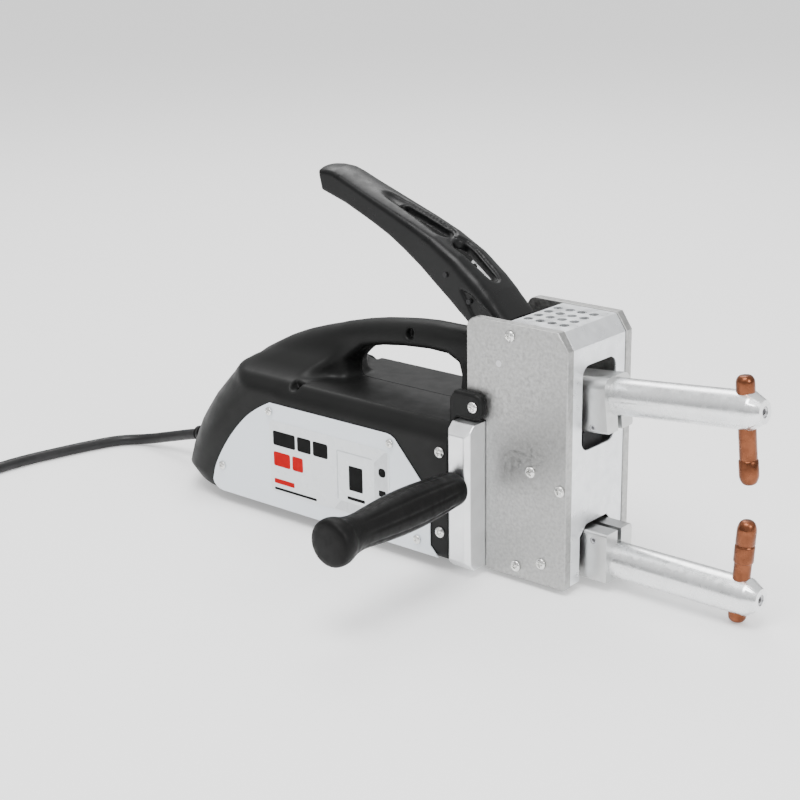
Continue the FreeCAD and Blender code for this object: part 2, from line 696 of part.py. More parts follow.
cord_tube = doc.addObject("Part::Feature", "cord_tube")
cord_tube.Shape = cord_solid(ROUTE)
node("cord_tube", cord_tube)
cord_tail = doc.addObject("Part::Feature", "cord_tail")
cord_tail.Shape = cord_solid(TAIL)
node("cord_tail", cord_tail)

# ---------------------------------------------------------------- housing


def plan(rear, half, corner):
    """Half plan outline with a rounded rear corner drawn as four flats."""
    points = [("shell_front", "0"), ("shell_front", f"-{half}")]
    for angle in (0, 30, 60, 90):
        along = f"{rear} + {corner} - {corner} * sin({angle})"
        across = f"-{half} + {corner} - {corner} * cos({angle})"
        points.append((along, across))
    points.append((rear, "0"))
    return points


REAR = [("base_z", "17"), ("22", "0"), ("60", "14"), ("90", "34"), ("side_top", "49")]
shell_outer = loft("shell_outer", [
    (height, plan(f"(shell_end + {shift})", "shell_half", "shell_corner")) for height, shift in REAR
] + [("deck_top", plan("(shell_end + 59)", "deck_half", "(shell_corner - 8)"))])
shell_inner = loft("shell_inner", [
    (f"{height} + {0 if number else 3}", plan(f"(shell_end + {shift} + 3.5)", "(shell_half - shell_wall)",
                                               "(shell_corner - shell_wall)"))
    for number, (height, shift) in enumerate(REAR)
] + [("deck_top - shell_wall", plan("(shell_end + 62)", "(deck_half - shell_wall)",
    "(shell_corner - 11)"))])
shoulder = loft("shoulder", [
    ("side_top - 1", [("-165", "0"), ("-165", "-56"), ("-225", "-56"), ("-258", "-28"), ("-268", "0")]),
    ("deck_top + 3", [("-160", "0"), ("-160", "-38"), ("-213", "-38"), ("-241", "-20"), ("-252", "0")]),
    ("132", [("-156", "0"), ("-156", "-19"), ("-200", "-19"), ("-218", "-12"), ("-226", "0")]),
])
grip_blank = prism(
    "grip_blank", "xz",
    [("-262", "106"), ("-240", "124"), ("-216", "136.5"), ("-178.5", "152"), ("-135.5", "164.5"),
     ("-101", "170.5"),
     ("-67.5", "173.8"), ("-38.5", "174"), ("-9", "172.5"), ("-9", "110")],
    "grip_half", "0")
grip_opening = prism(
    "grip_opening", "xz",
    [("-150", "deck_top"), ("-150", "130"), ("-132", "144"), ("-113", "148.5"), ("-92", "151.5"),
     ("-66", "153.5"),
     ("-48", "153"), ("-37", "148"), ("-32", "138"), ("-31", "deck_top")],
    "60", "-20")
grip = cut("grip", grip_blank, grip_opening)
lug_plate = prism(
    "lug_plate", "xz",
    [("-30", "lug_low"), ("lug_front", "lug_low"), ("lug_front", "lug_top"), ("-30", "lug_top")],
    "lug_outer - head_half - gap", "head_half + gap", rounds=[((1, 2), "6")])
lug_root = box("lug_root", ("-30", "-lug_outer", "112"), ("19", "lug_outer - 10", "12"))
lug_bar = fuse("lug_bar", lug_plate, lug_root)
STRIP_SCREWS = [("-19", "93.8"), ("-19", "30.5")]
PANEL_SCREWS = [("-192.7", "91"), ("-249.4", "32.7"), ("-66", "91"), ("-40", "20")]
cable_port = rod("cable_port", "9.1", "40", ("0", "0", "0"), "x")
port_turn = FreeCAD.Rotation(Vector(0, 1, 0), 90 - SIZES["entry_slope"])
cable_port.Placement = FreeCAD.Placement(Vector(), port_turn)
place(cable_port, "entry_x - 30 * cos(entry_slope)", "0", "entry_z - 30 * sin(entry_slope)")
shell_hollow = cut("shell_hollow", shell_outer, shell_inner)
shell_whole = fuse("shell_whole", shell_hollow,
    cut("shoulder_hollow", shoulder, shell_inner), grip, lug_bar)
housing_right = node("housing_right", cut(
    "housing_right", shell_whole,
    box("front_trim", ("shell_front", "-80", "0"), ("60", "80", "flange_top + 0.3")),
    box("front_clear", ("plate_back - 1", "-lug_outer + 7.4", "110"), ("60", "80", "90")),
    cable_port,
    rod("grip_recess", "4", "6", ("-85", "-grip_half - 1", "162")),
    rod("rear_recess", "4.5", "14", ("-172", "-56", "112")),
    *holes("strip_hole", STRIP_SCREWS, "screw_r + fit", "-60", "12"),
    *holes("panel_hole", PANEL_SCREWS, "1.6", "-60", "12"),
    *holes("lug_hole", LUG_SCREW, "screw_r + fit", "-60", "22")))
node("housing_left", mirror("housing_left", housing_right))
node("housing_screws", group(
    "housing_screws", *screws("lug_screw_right", LUG_SCREW, "-lug_outer", shank="14.5"),
    *screws("lug_screw_left", LUG_SCREW, "lug_outer", shank="14.5", side=1),
    *screws("strip_screw_right", STRIP_SCREWS, "-shell_half", shank="8"),
    *screws("strip_screw_left", STRIP_SCREWS, "shell_half", shank="8", side=1)))
ear = cut(
    "ear", fuse(
        "ear_angle", box("ear_wall", ("-30", "-54.2", "16"), ("19.9", "3", "88")),
        box("ear_foot", ("-13", "-54.2", "16"), ("2.9", "16", "88"))),
    *holes("ear_hole", STRIP_SCREWS, "screw_r + fit", "-60", "12"))
node("housing_brackets", group("housing_brackets", ear, mirror("ear_left", ear)))

# ---------------------------------------------------------------- side panels and labels
panel_blank = prism(
    "panel_blank", "xz",
    [("-253", "10"), ("-262", "18"), ("-258", "33"), ("-242", "58"), ("-223", "79"), ("-208", "90"),
     ("-193", "98"),
     ("-64", "98"), ("-28", "58"), ("-28", "18"), ("-20", "10")],
    "panel_thick", "shell_half + 0.1", rounds=[((0,), "6"), ((6, 7), "6")])
side_panel_right = node("side_panel_right", cut(
    "side_panel_right", panel_blank, *holes("panel_clear", PANEL_SCREWS, "1.6", "-70", "20")))
node("side_panel_left", mirror("side_panel_left", side_panel_right))
panel_screws = group("panel_screw_group", *screws(
    "panel_screw", PANEL_SCREWS,
        "-(shell_half + 0.1 + panel_thick)", head_r="3.4", shank="5", shank_r="1.5"))
node("panel_screws", group("panel_screws", panel_screws, mirror("panel_screws_left", panel_screws)))
label_blank = prism(
    "label_blank", "xz",
    [("-193", "24"), ("-74", "24"), ("-67", "34"), ("-67", "84"), ("-193", "84")],
    "label_thick", "shell_half + 0.15 + panel_thick", rounds=[((0, 3, 4), "4")])
label_right = node("label_right", label_blank)
node("label_left", mirror("label_left", label_right))

# ---------------------------------------------------------------- side handle
handle_grip = turned("handle_grip", [
    ("12.6", "0"), ("13.2", "8"), ("15.2", "34"), ("16", "62"), ("14.8", "90"), ("12.8", "108"),
    ("14.4", "120"),
    ("17", "129"), ("17.3", "135"), ("15.8", "handle_end - handle_root")])
handle_bore = rod("handle_bore", "stud_r", "125", ("0", "0", "-1"), "z")
side_handle = cut("side_handle", handle_grip, handle_bore)
side_handle.Placement = FreeCAD.Placement(Vector(), FreeCAD.Rotation(Vector(1, 0, 0), 90))
place(side_handle, "0", "-handle_root", "stud_z")
node("side_handle", side_handle)
node("handle_stud", rod("handle_stud", "stud_r - 0.1", "140", ("0", "-flange_half - 114", "stud_z")))

# ---------------------------------------------------------------- transformer and conductors
core_block = box("core_block", ("core_back", "-core_half", "core_low"),
                 ("core_front - core_back", "2 * core_half", "core_top - core_low"))
core_windows = [box(f"core_window_{number}", (x, "-core_half - 1", "34"), ("24", "2 * core_half + 2", "52"))
                for number, x in enumerate(("-132", "-92"))]
node("transformer_core", cut("transformer_core", core_block, *core_windows))
for name, low, high in (("primary_winding", "52", "85.5"), ("secondary_winding", "34.5", "50")):
    ring = box(name + "_block", ("-131.5", "-coil_half", low), ("63", "2 * coil_half", f"{high} - {low}"))
    leg = box(name + "_leg", ("-108.5", "-core_half - 0.5", f"{low} - 1"),
              ("17", "2 * core_half + 1", f"{high} - {low} + 2"))
    node(name, cut(name, ring, leg))
lower_bar = prism(
    "lower_bar", "xz",
    [("-59.5", "37"), ("28", "37"), ("36", "19"), ("low_block_back - 0.1", "19"),
     ("low_block_back - 0.1", "30"),
     ("42", "30"), ("36", "45"), ("-59.5", "45")],
    "2 * bus_half", "-bus_half")
node("lower_busbar", fuse("lower_busbar", lower_bar, box(
    "lower_bar_wing", ("-59.5", "-core_half - 14", "37"), ("15", "core_half + 14", "8"))))
upper_bar = prism(
    "upper_bar", "xz", [("-59.5", "48"), ("60", "48"), ("60", "56"), ("-59.5", "56")],
    "2 * bus_half", "-bus_half")
node("upper_busbar", fuse("upper_busbar", upper_bar, box(
    "upper_bar_wing", ("-59.5", "0", "48"), ("15", "core_half + 14", "8"))))
node("winding_terminals", group(
    "winding_terminals",
    box("low_terminal", ("-68.4", "-core_half - 14", "37"), ("8.8", "13", "8")),
    box("high_terminal", ("-68.4", "core_half + 1", "42"), ("8.8", "13", "14"))))
node("flexible_shunt", prism(
    "flexible_shunt", "xz",
    [("60.1", "48.5"), ("70", "48.5"), ("76.5", "56"), ("76.5", "118.1"), ("71.5", "117.6"), ("71.5", "58"),
     ("68", "53.5"), ("60.1", "53.5")],
    "2 * (bus_half - 1)", "-(bus_half - 1)"))

# ---------------------------------------------------------------- electronics and mains entry
node("control_board", fuse(
    "control_board", box("board", ("-225", "-32", "20"), ("70", "64", "1.6")),
    box("board_relay", ("-215", "-24", "21.5"), ("22", "16", "18")),
    box("board_thyristor", ("-185", "-20", "21.5"), ("24", "30", "12")),
    rod("board_capacitor", "7", "24", ("-210", "14", "21.5"), "z")))
node("board_standoffs", group("board_standoffs", *[
    rod(f"standoff_{x}_{y}", "3", "20 - base_z - 3", (str(x), str(y), "base_z + 3"), "z")
    for x in (-221, -159) for y in (-28, 28)]))
node("terminal_block", cut(
    "terminal_block", box("terminal_case", ("-262", "-18", "base_z + 3"), ("16", "36", "14")),
    *[rod(f"terminal_hole_{y}", "2", "18", ("-263", str(y), "18"), "x") for y in (-11, 0, 11)]))
node("cable_clamp", cut(
    "cable_clamp", box("clamp_block", ("-296", "-14", "base_z + 3"), ("14", "28", "32")), cord_tube))
relief_body = fuse(
    "relief_body", cone("relief_taper", "6.4", "9", "26", ("-31", "0", "0"), "x"),
    rod("relief_neck", "9", "17", ("-5.2", "0", "0"), "x"),
    rod("relief_flange", "11.5", "3", ("8.8", "0", "0"), "x"))
ENTRY_TURN = FreeCAD.Rotation(Vector(0, 1, 0), -SIZES["entry_slope"])
relief_body.Placement = FreeCAD.Placement(Vector(), ENTRY_TURN)
place(relief_body, "entry_x", "0", "entry_z")
node("strain_relief", cut("strain_relief", relief_body, cord_tube))

# ---------------------------------------------------------------- feet
foot_front = box("foot_front", ("flange_back + 1", "-foot_half", "0"), ("18", "2 * foot_half",
    "flange_low"))
node("foot_front", foot_front)
node("foot_rear", box("foot_rear", ("-250", "-foot_half", "0"), ("20", "2 * foot_half", "base_z")))

node("cord_coil", cut(
    "cord_coil", rod("coil_outer", "coil_out", "coil_high", ("coil_x", "coil_y", "0"), "z"),
    rod("coil_inner", "coil_in", "coil_high + 2", ("coil_x", "coil_y", "-1"), "z")))

# The plug lies beyond the coil, in line with the cord's tail, and points away from the tool.
node("plug_body", fuse(
    "plug_body", cone("plug_taper", "12", "6", "26", ("plug_x - 26", "plug_y", "plug_z"), "x"),
    rod("plug_grip", "plug_z", "28", ("plug_x - 53", "plug_y", "plug_z"), "x"),
    rod("plug_nose", "plug_z - 2.5", "7", ("plug_x - 60", "plug_y", "plug_z"), "x")))
node("plug_pins", group("plug_pins", *[
    rod(f"plug_pin_{number}", "2.4", "19", ("plug_x - 79", f"plug_y + {across}", "plug_z"), "x")
    for number, across in enumerate(("-9.5", "9.5"))]))
doc.recompute()

# ---------------------------------------------------------------- electrode caps
def cap(name, item, face, tilt, flip):
    """The cap stands on the electrode with its face at the given point."""
    length = SIZES["cap_length"]
    shape = cap_shape.Shape.copy()
    shape.Placement = FreeCAD.Placement()
    turn = FreeCAD.Rotation(Vector(0, 1, 0), tilt + (180 if flip else 0))
    item.Shape = shape
    item.Placement = FreeCAD.Placement(face - turn.multVec(Vector(0, 0, length)), turn)
    node(name, item)


lower_face = Vector(SIZES["tip_x"], 0, SIZES["tip_z"])
pivot = Vector(SIZES["pivot_x"], 0, SIZES["pivot_z"])
lean = SIZES["stroke"] - SIZES["arm_tilt"]
cap("lower_cap", lower_cap_piece, lower_face, lean, False)
closed_face = lower_face + FreeCAD.Rotation(Vector(0, 1, 0), lean).multVec(Vector(0, 0, SIZES["tip_gap"]))
open_turn = FreeCAD.Rotation(Vector(0, 1, 0), -SIZES["stroke"])
cap("upper_cap", upper_cap_piece, pivot + open_turn.multVec(closed_face - pivot), -SIZES["arm_tilt"], True)

doc.recompute()
for item in doc.Objects:
    if "Invalid" in item.State or "Error" in item.State:
        raise SystemExit(f"{item.Name} failed: {item.State}")
for name, item in parts.items():
    if item.Shape.isNull() or not item.Shape.isValid():
        raise SystemExit(f"{name} has no valid shape")
os.makedirs("parts", exist_ok=True)
for name, item in parts.items():
    item.Shape.exportStep(f"parts/{name}.step")
print(f"{len(parts)} sub-parts written")
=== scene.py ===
import json
import math
import bmesh
import bpy
import numpy as np
from mathutils import Matrix, Vector


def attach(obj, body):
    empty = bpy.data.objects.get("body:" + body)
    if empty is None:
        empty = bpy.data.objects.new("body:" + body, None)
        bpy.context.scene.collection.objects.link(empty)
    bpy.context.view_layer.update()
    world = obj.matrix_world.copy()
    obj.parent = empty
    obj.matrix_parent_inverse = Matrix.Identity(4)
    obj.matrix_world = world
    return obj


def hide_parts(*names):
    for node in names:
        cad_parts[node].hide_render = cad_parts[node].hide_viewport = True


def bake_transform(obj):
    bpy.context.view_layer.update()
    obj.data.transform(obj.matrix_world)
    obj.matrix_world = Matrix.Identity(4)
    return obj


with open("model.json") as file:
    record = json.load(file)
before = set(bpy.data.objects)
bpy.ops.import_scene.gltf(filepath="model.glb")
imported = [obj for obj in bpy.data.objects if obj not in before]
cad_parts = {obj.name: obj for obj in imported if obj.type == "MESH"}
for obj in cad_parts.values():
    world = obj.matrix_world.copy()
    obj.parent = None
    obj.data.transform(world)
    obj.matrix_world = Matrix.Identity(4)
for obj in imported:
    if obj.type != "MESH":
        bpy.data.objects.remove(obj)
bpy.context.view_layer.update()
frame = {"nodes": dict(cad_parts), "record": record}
NODES = frame["nodes"]
MM = 0.001
scene = bpy.context.scene

# ---------------------------------------------------------------- camera


def add_camera():
    """Looks from the front right, a little from above."""
    azimuth = math.radians(40.549)
    elevation = math.radians(17.767)
    roll = math.radians(-0.87)
    data = bpy.data.cameras.new("camera")
    data.sensor_width = 36
    data.lens = 76.62
    data.clip_end = 60
    camera = bpy.data.objects.new("camera", data)
    scene.collection.objects.link(camera)
    level = Vector((-math.sin(azimuth), math.cos(azimuth), 0))
    view = level * math.cos(elevation) - Vector((0, 0, math.sin(elevation)))
    side = Vector((math.cos(azimuth), math.sin(azimuth), 0))
    up = side.cross(view)
    right = side * math.cos(roll) + up * math.sin(roll)
    upright = up * math.cos(roll) - side * math.sin(roll)
    turn = Matrix((right, upright, -view)).transposed().to_4x4()
    camera.matrix_world = Matrix.Translation((0.72577, -0.97177, 0.51229)) @ turn
    scene.camera = camera


add_camera()

# ---------------------------------------------------------------- materials


class Shader:
    """A Principled material with procedural colour, roughness and bump."""

    def __init__(self, name, color, roughness, metallic=0.0, coat=0.0, specular=0.5):
        self.material = bpy.data.materials.new(name)
        self.material.use_nodes = True
        self.tree = self.material.node_tree
        self.surface = self.tree.nodes["Principled BSDF"]
        self.surface.inputs["Metallic"].default_value = metallic
        self.surface.inputs["Coat Weight"].default_value = coat
        self.surface.inputs["Coat Roughness"].default_value = 0.25
        self.surface.inputs["Specular IOR Level"].default_value = specular
        self.color = color
        self.roughness = roughness
        self.place = self.tree.nodes.new("ShaderNodeTexCoord").outputs["Object"]
        self.height = None

    def link(self, start, end):
        self.tree.links.new(start, end)

    def stretched(self, scale):
        node = self.tree.nodes.new("ShaderNodeMapping")
        node.inputs["Scale"].default_value = scale
        self.link(self.place, node.inputs["Vector"])
        return node.outputs["Vector"]

    def noise(self, scale, detail=3.0, stretch=(1, 1, 1)):
        node = self.tree.nodes.new("ShaderNodeTexNoise")
        node.inputs["Scale"].default_value = scale
        node.inputs["Detail"].default_value = detail
        self.link(self.stretched(stretch), node.inputs["Vector"])
        return node.outputs["Fac"]

    def cells(self, scale):
        node = self.tree.nodes.new("ShaderNodeTexVoronoi")
        node.inputs["Scale"].default_value = scale
        self.link(self.place, node.inputs["Vector"])
        return node.outputs["Distance"]

    def bands(self, scale, direction, distortion=0.0):
        node = self.tree.nodes.new("ShaderNodeTexWave")
        node.bands_direction = direction
        node.inputs["Scale"].default_value = scale
        node.inputs["Distortion"].default_value = distortion
        self.link(self.place, node.inputs["Vector"])
        return node.outputs["Fac"]

    def ramp(self, factor, low, high, start=0.35, end=0.65):
        node = self.tree.nodes.new("ShaderNodeValToRGB")
        node.color_ramp.elements[0].position = start
        node.color_ramp.elements[1].position = end
        node.color_ramp.elements[0].color = (*low, 1)
        node.color_ramp.elements[1].color = (*high, 1)
        self.link(factor, node.inputs["Fac"])
        return node.outputs["Color"]

    def tone(self, factor, spread=0.1, start=0.35, end=0.65):
        low = [c * (1 - spread) for c in self.color]
        high = [min(1.0, c * (1 + spread)) for c in self.color]
        self.link(self.ramp(factor, low, high, start, end), self.surface.inputs["Base Color"])
        return self

    def gloss(self, factor, spread=0.08):
        low = max(0.02, self.roughness - spread)
        high = min(1.0, self.roughness + spread)
        self.link(self.ramp(factor, [low] * 3, [high] * 3), self.surface.inputs["Roughness"])
        return self

    def bump(self, factor, depth, strength=1.0):
        node = self.tree.nodes.new("ShaderNodeBump")
        node.inputs["Distance"].default_value = depth
        node.inputs["Strength"].default_value = strength
        self.link(factor, node.inputs["Height"])
        if self.height is not None:
            self.link(self.height, node.inputs["Normal"])
        self.height = node.outputs["Normal"]
        self.link(self.height, self.surface.inputs["Normal"])
        return self


MATERIALS = {}


def shade(name, color, roughness, metallic=0.0, coat=0.0, specular=0.5, tone=(60, 0.08), gloss=(90, 0.08),
          bump=(700, 0.00002)):
    """A material with clouded tone, uneven gloss and fine grain."""
    item = Shader(name, color, roughness, metallic, coat, specular)
    item.tone(item.noise(tone[0]), tone[1])
    item.gloss(item.noise(gloss[0], 4.0), gloss[1])
    item.bump(item.noise(bump[0], 2.0), bump[1])
    MATERIALS[name] = item
    return item


shade("cast_aluminium", (0.88, 0.89, 0.90), 0.36, 1.0, tone=(40, 0.05), bump=(900, 0.000012))
plate = shade("plate_aluminium", (0.42, 0.42, 0.413), 0.44, 1.0, tone=(420, 0.10), gloss=(300, 0.10),
              bump=(1300, 0.00003))
plate.bump(plate.cells(1500), 0.000015, 0.6)
shade("cover_sheet", (0.86, 0.88, 0.90), 0.34, 0.85, tone=(120, 0.04), bump=(1100, 0.00001))
shade("zinc", (0.80, 0.80, 0.78), 0.24, 1.0, tone=(300, 0.08))
shade("steel", (0.55, 0.55, 0.56), 0.35, 1.0, tone=(200, 0.10))
shade("spring_steel", (0.25, 0.25, 0.27), 0.35, 1.0)
shade("black_oxide", (0.012, 0.012, 0.013), 0.45, specular=0.3)
shade("bronze", (0.62, 0.42, 0.20), 0.42, 1.0)
machined = shade("machined_aluminium", (0.62, 0.625, 0.62), 0.36, 1.0, tone=(80, 0.04))
machined.bump(machined.noise(900, 2.0, (1, 1, 0.03)), 0.00001, 0.7)
turned_metal = shade("arm_aluminium", (0.86, 0.87, 0.875), 0.27, 1.0, tone=(60, 0.04), gloss=(200, 0.05),
                     bump=(700, 0.000004))
turned_metal.bump(turned_metal.noise(1400, 2.0, (1, 0.05, 0.05)), 0.000004, 0.5)
copper = shade("copper", (0.19, 0.068, 0.034), 0.32, 1.0, tone=(150, 0.18), gloss=(160, 0.10))
copper.bump(copper.noise(1200, 2.0, (0.1, 0.1, 1)), 0.000015, 0.7)
laminate = shade("insulation", (0.03, 0.028, 0.026), 0.5)
laminate.bump(laminate.bands(300, "Z", 2.0), 0.00004)
shade("lever_plastic", (0.004, 0.0042, 0.0043), 0.33, specular=0.22, coat=0.02, tone=(30, 0.15),
      gloss=(120, 0.06), bump=(1500, 0.00001))
shade("switch_plastic", (0.02, 0.02, 0.022), 0.5)
shade("plunger_plastic", (0.6, 0.04, 0.03), 0.35)
housing_look = shade("housing_plastic", (0.006, 0.0062, 0.006), 0.46, specular=0.18, tone=(18, 0.12),
                     gloss=(60, 0.05), bump=(2200, 0.00002))
housing_look.bump(housing_look.cells(1800), 0.00002, 0.5)
shade("panel_paint", (0.80, 0.85, 0.90), 0.38, coat=0.25, tone=(10, 0.015), bump=(1600, 0.00001))
shade("label_film", (0.76, 0.79, 0.81), 0.30, coat=0.3, tone=(15, 0.012), bump=(800, 0.000004))
shade("print_dark", (0.003, 0.003, 0.003), 0.5, specular=0.08, tone=(200, 0.1), bump=(800, 0.000004))
shade("print_red", (0.42, 0.0, 0.002), 0.5, specular=0.08, tone=(200, 0.05), bump=(800, 0.000004))
shade("print_grey", (0.50, 0.52, 0.54), 0.35, tone=(200, 0.05), bump=(800, 0.000004))
shade("print_light", (0.60, 0.62, 0.64), 0.35, tone=(200, 0.05), bump=(800, 0.000004))
handle_look = shade("handle_rubber", (0.004, 0.004, 0.004), 0.46, specular=0.14, tone=(80, 0.2),
                    gloss=(200, 0.1), bump=(1500, 0.00003))
handle_look.bump(handle_look.cells(1100), 0.00004, 0.6)
iron = shade("core_iron", (0.16, 0.16, 0.17), 0.5, 0.6)
iron.bump(iron.bands(320, "Y"), 0.0002)
winding = shade("winding_copper", (0.42, 0.14, 0.06), 0.35, 0.9)
winding.bump(winding.bands(240, "Z", 0.4), 0.0004)
shade("board_laminate", (0.03, 0.22, 0.09), 0.4, coat=0.3)
sleeve = shade("sleeve", (0.015, 0.015, 0.016), 0.6)
sleeve.bump(sleeve.bands(500, "Z", 1.0), 0.0002)
shade("brass", (0.80, 0.62, 0.30), 0.3, 1.0)
shade("terminal_plastic", (0.72, 0.71, 0.66), 0.5)
shade("cord_rubber", (0.012, 0.012, 0.0125), 0.42, specular=0.3, tone=(60, 0.2), gloss=(150, 0.1),
      bump=(900, 0.00004))
shade("plug_rubber", (0.022, 0.022, 0.022), 0.5, bump=(700, 0.00005))
shade("foot_rubber", (0.035, 0.035, 0.035), 0.7, bump=(500, 0.00006))
SLOT_OF = {item["node"]: item["material_slot"] for item in frame["record"]["subparts"]}
BODY_OF = {node: body for body, members in frame["record"]["behaviour"]["bodies"].items() for node in members}
LOOKS = {"lever_screws": "black_oxide"}
for name, item in NODES.items():
    item.data.materials.clear()
    item.data.materials.append(MATERIALS[LOOKS.get(name, SLOT_OF[name])].material)
    for face in item.data.polygons:
        face.material_index = 0


def dress(item, slot, body, *stands_for, look=None):
    """Gives a new piece its finish, its body and the CAD nodes that it stands for."""
    item.data.materials.clear()
    item.data.materials.append(MATERIALS[look or slot].material)
    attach(item, body)
    if stands_for:
        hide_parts(*stands_for)
    return item


def mesh_piece(name, vertices, faces):
    """A new smooth-shaded mesh in the scene, from coordinates in metres."""
    mesh = bpy.data.meshes.new(name)
    mesh.from_pydata([tuple(v) for v in vertices], [], [tuple(f) for f in faces])
    mesh.polygons.foreach_set("use_smooth", [True] * len(mesh.polygons))
    mesh.update()
    item = bpy.data.objects.new(name, mesh)
    scene.collection.objects.link(item)
    return item


def apply_modifiers(item):
    """Turns what the modifiers show into the mesh itself."""
    graph = bpy.context.evaluated_depsgraph_get()
    mesh = bpy.data.meshes.new_from_object(item.evaluated_get(graph))
    item.modifiers.clear()
    item.data = mesh
    return item


# ---------------------------------------------------------------- CAD pieces with eased edges


def eased(node, width, shortest):
    """A copy of a CAD node whose sharp edges longer than `shortest` millimetres are bevelled."""
    mesh = NODES[node].data.copy()
    work = bmesh.new()
    work.from_mesh(mesh)
    bmesh.ops.remove_doubles(work, verts=work.verts, dist=2e-6)
    bmesh.ops.dissolve_limit(work, angle_limit=math.radians(0.6), verts=work.verts, edges=work.edges)
    weight = work.edges.layers.float.new("bevel_weight_edge")
    for edge in work.edges:
        sharp = edge.is_manifold and edge.calc_face_angle(0) > math.radians(32)
        edge[weight] = 1.0 if sharp and edge.calc_length() > shortest * MM else 0.0
    work.to_mesh(mesh)
    work.free()
    item = bpy.data.objects.new(node + "_eased", mesh)
    scene.collection.objects.link(item)
    item.data.polygons.foreach_set("use_smooth", [True] * len(item.data.polygons))
    item.data.set_sharp_from_angle(angle=math.radians(40))
    bevel = item.modifiers.new("bevel", "BEVEL")
    bevel.width = width * MM
    bevel.segments = 2
    bevel.limit_method = "WEIGHT"
    normals = item.modifiers.new("normals", "WEIGHTED_NORMAL")
    normals.keep_sharp = True
    apply_modifiers(item)
    return dress(item, SLOT_OF[node], BODY_OF[node], node, look=LOOKS.get(node))


DRILLED = {"side_plate_right", "side_plate_left", "front_cover", "transverse_plate", "side_panel_right",
           "side_panel_left", "rocker", "lever_cheeks", "upper_clamp_block", "lower_clamp_block", "upper_arm",
           "lower_arm", "housing_brackets"}
for node, width in {
    "transverse_plate": 0.7, "side_plate_right": 0.6, "side_plate_left": 0.6, "front_cover": 0.3,
    "upper_clamp_block": 1.1, "lower_clamp_block": 1.1, "upper_arm": 0.5, "lower_arm": 0.5,
    "rocker": 0.5, "lever_cheeks": 0.4,
    "terminal_block": 0.5, "cable_clamp": 0.6, "switch_body": 0.4, "foot_front": 1.2, "foot_rear": 1.2,
    "lower_busbar": 0.5, "upper_busbar": 0.5, "housing_brackets": 0.4,
    "primary_winding": 3.0, "secondary_winding": 2.0, "transformer_core": 0.8,
}.items():
    eased(node, width, 1.1 if node in DRILLED else 0.0)

# ---------------------------------------------------------------- solids from distance fields


def smooth_max(a, b, k):
    gap = np.maximum(k - np.abs(a - b), 0) / k
    return np.maximum(a, b) + gap * gap * k / 4


def smooth_min(a, b, k):
    return -smooth_max(-a, -b, k)


def polygon_field(u, v, points):
    """Signed distance to a closed polygon in a plane."""
    nearest = np.full(u.shape, 1e9)
    sign = np.ones(u.shape)
    count = len(points)
    for index in range(count):
        ax, ay = points[index - 1]
        bx, by = points[index]
        ex, ey = bx - ax, by - ay
        share = np.clip(((u - ax) * ex + (v - ay) * ey) / (ex * ex + ey * ey), 0, 1)
        dx = u - ax - ex * share
        dy = v - ay - ey * share
        nearest = np.minimum(nearest, dx * dx + dy * dy)
        crosses = (ay > v) != (by > v)
        with np.errstate(divide="ignore", invalid="ignore"):
            edge = ax + (v - ay) * ex / (ey if ey else 1e-9)
        sign = np.where(crosses & (u < edge), -sign, sign)
    return np.sqrt(nearest) * sign


def tube_field(a, b, radius):
    """Distance to an endless round bar, from its two cross coordinates."""
    return np.sqrt(a * a + b * b) - radius


CORNERS = [(i, j, k) for i in (0, 1) for j in (0, 1) for k in (0, 1)]
SETTLE_ROUNDS = 4       # times that the points are pulled onto the surface
PROBE = 0.3             # half the distance over which the slope is measured, in millimetres
LONGEST_MOVE = 0.6      # of a grid step, in one round
LEAST_STEEP = 0.2       # keeps a flat spot of the field from throwing a point away


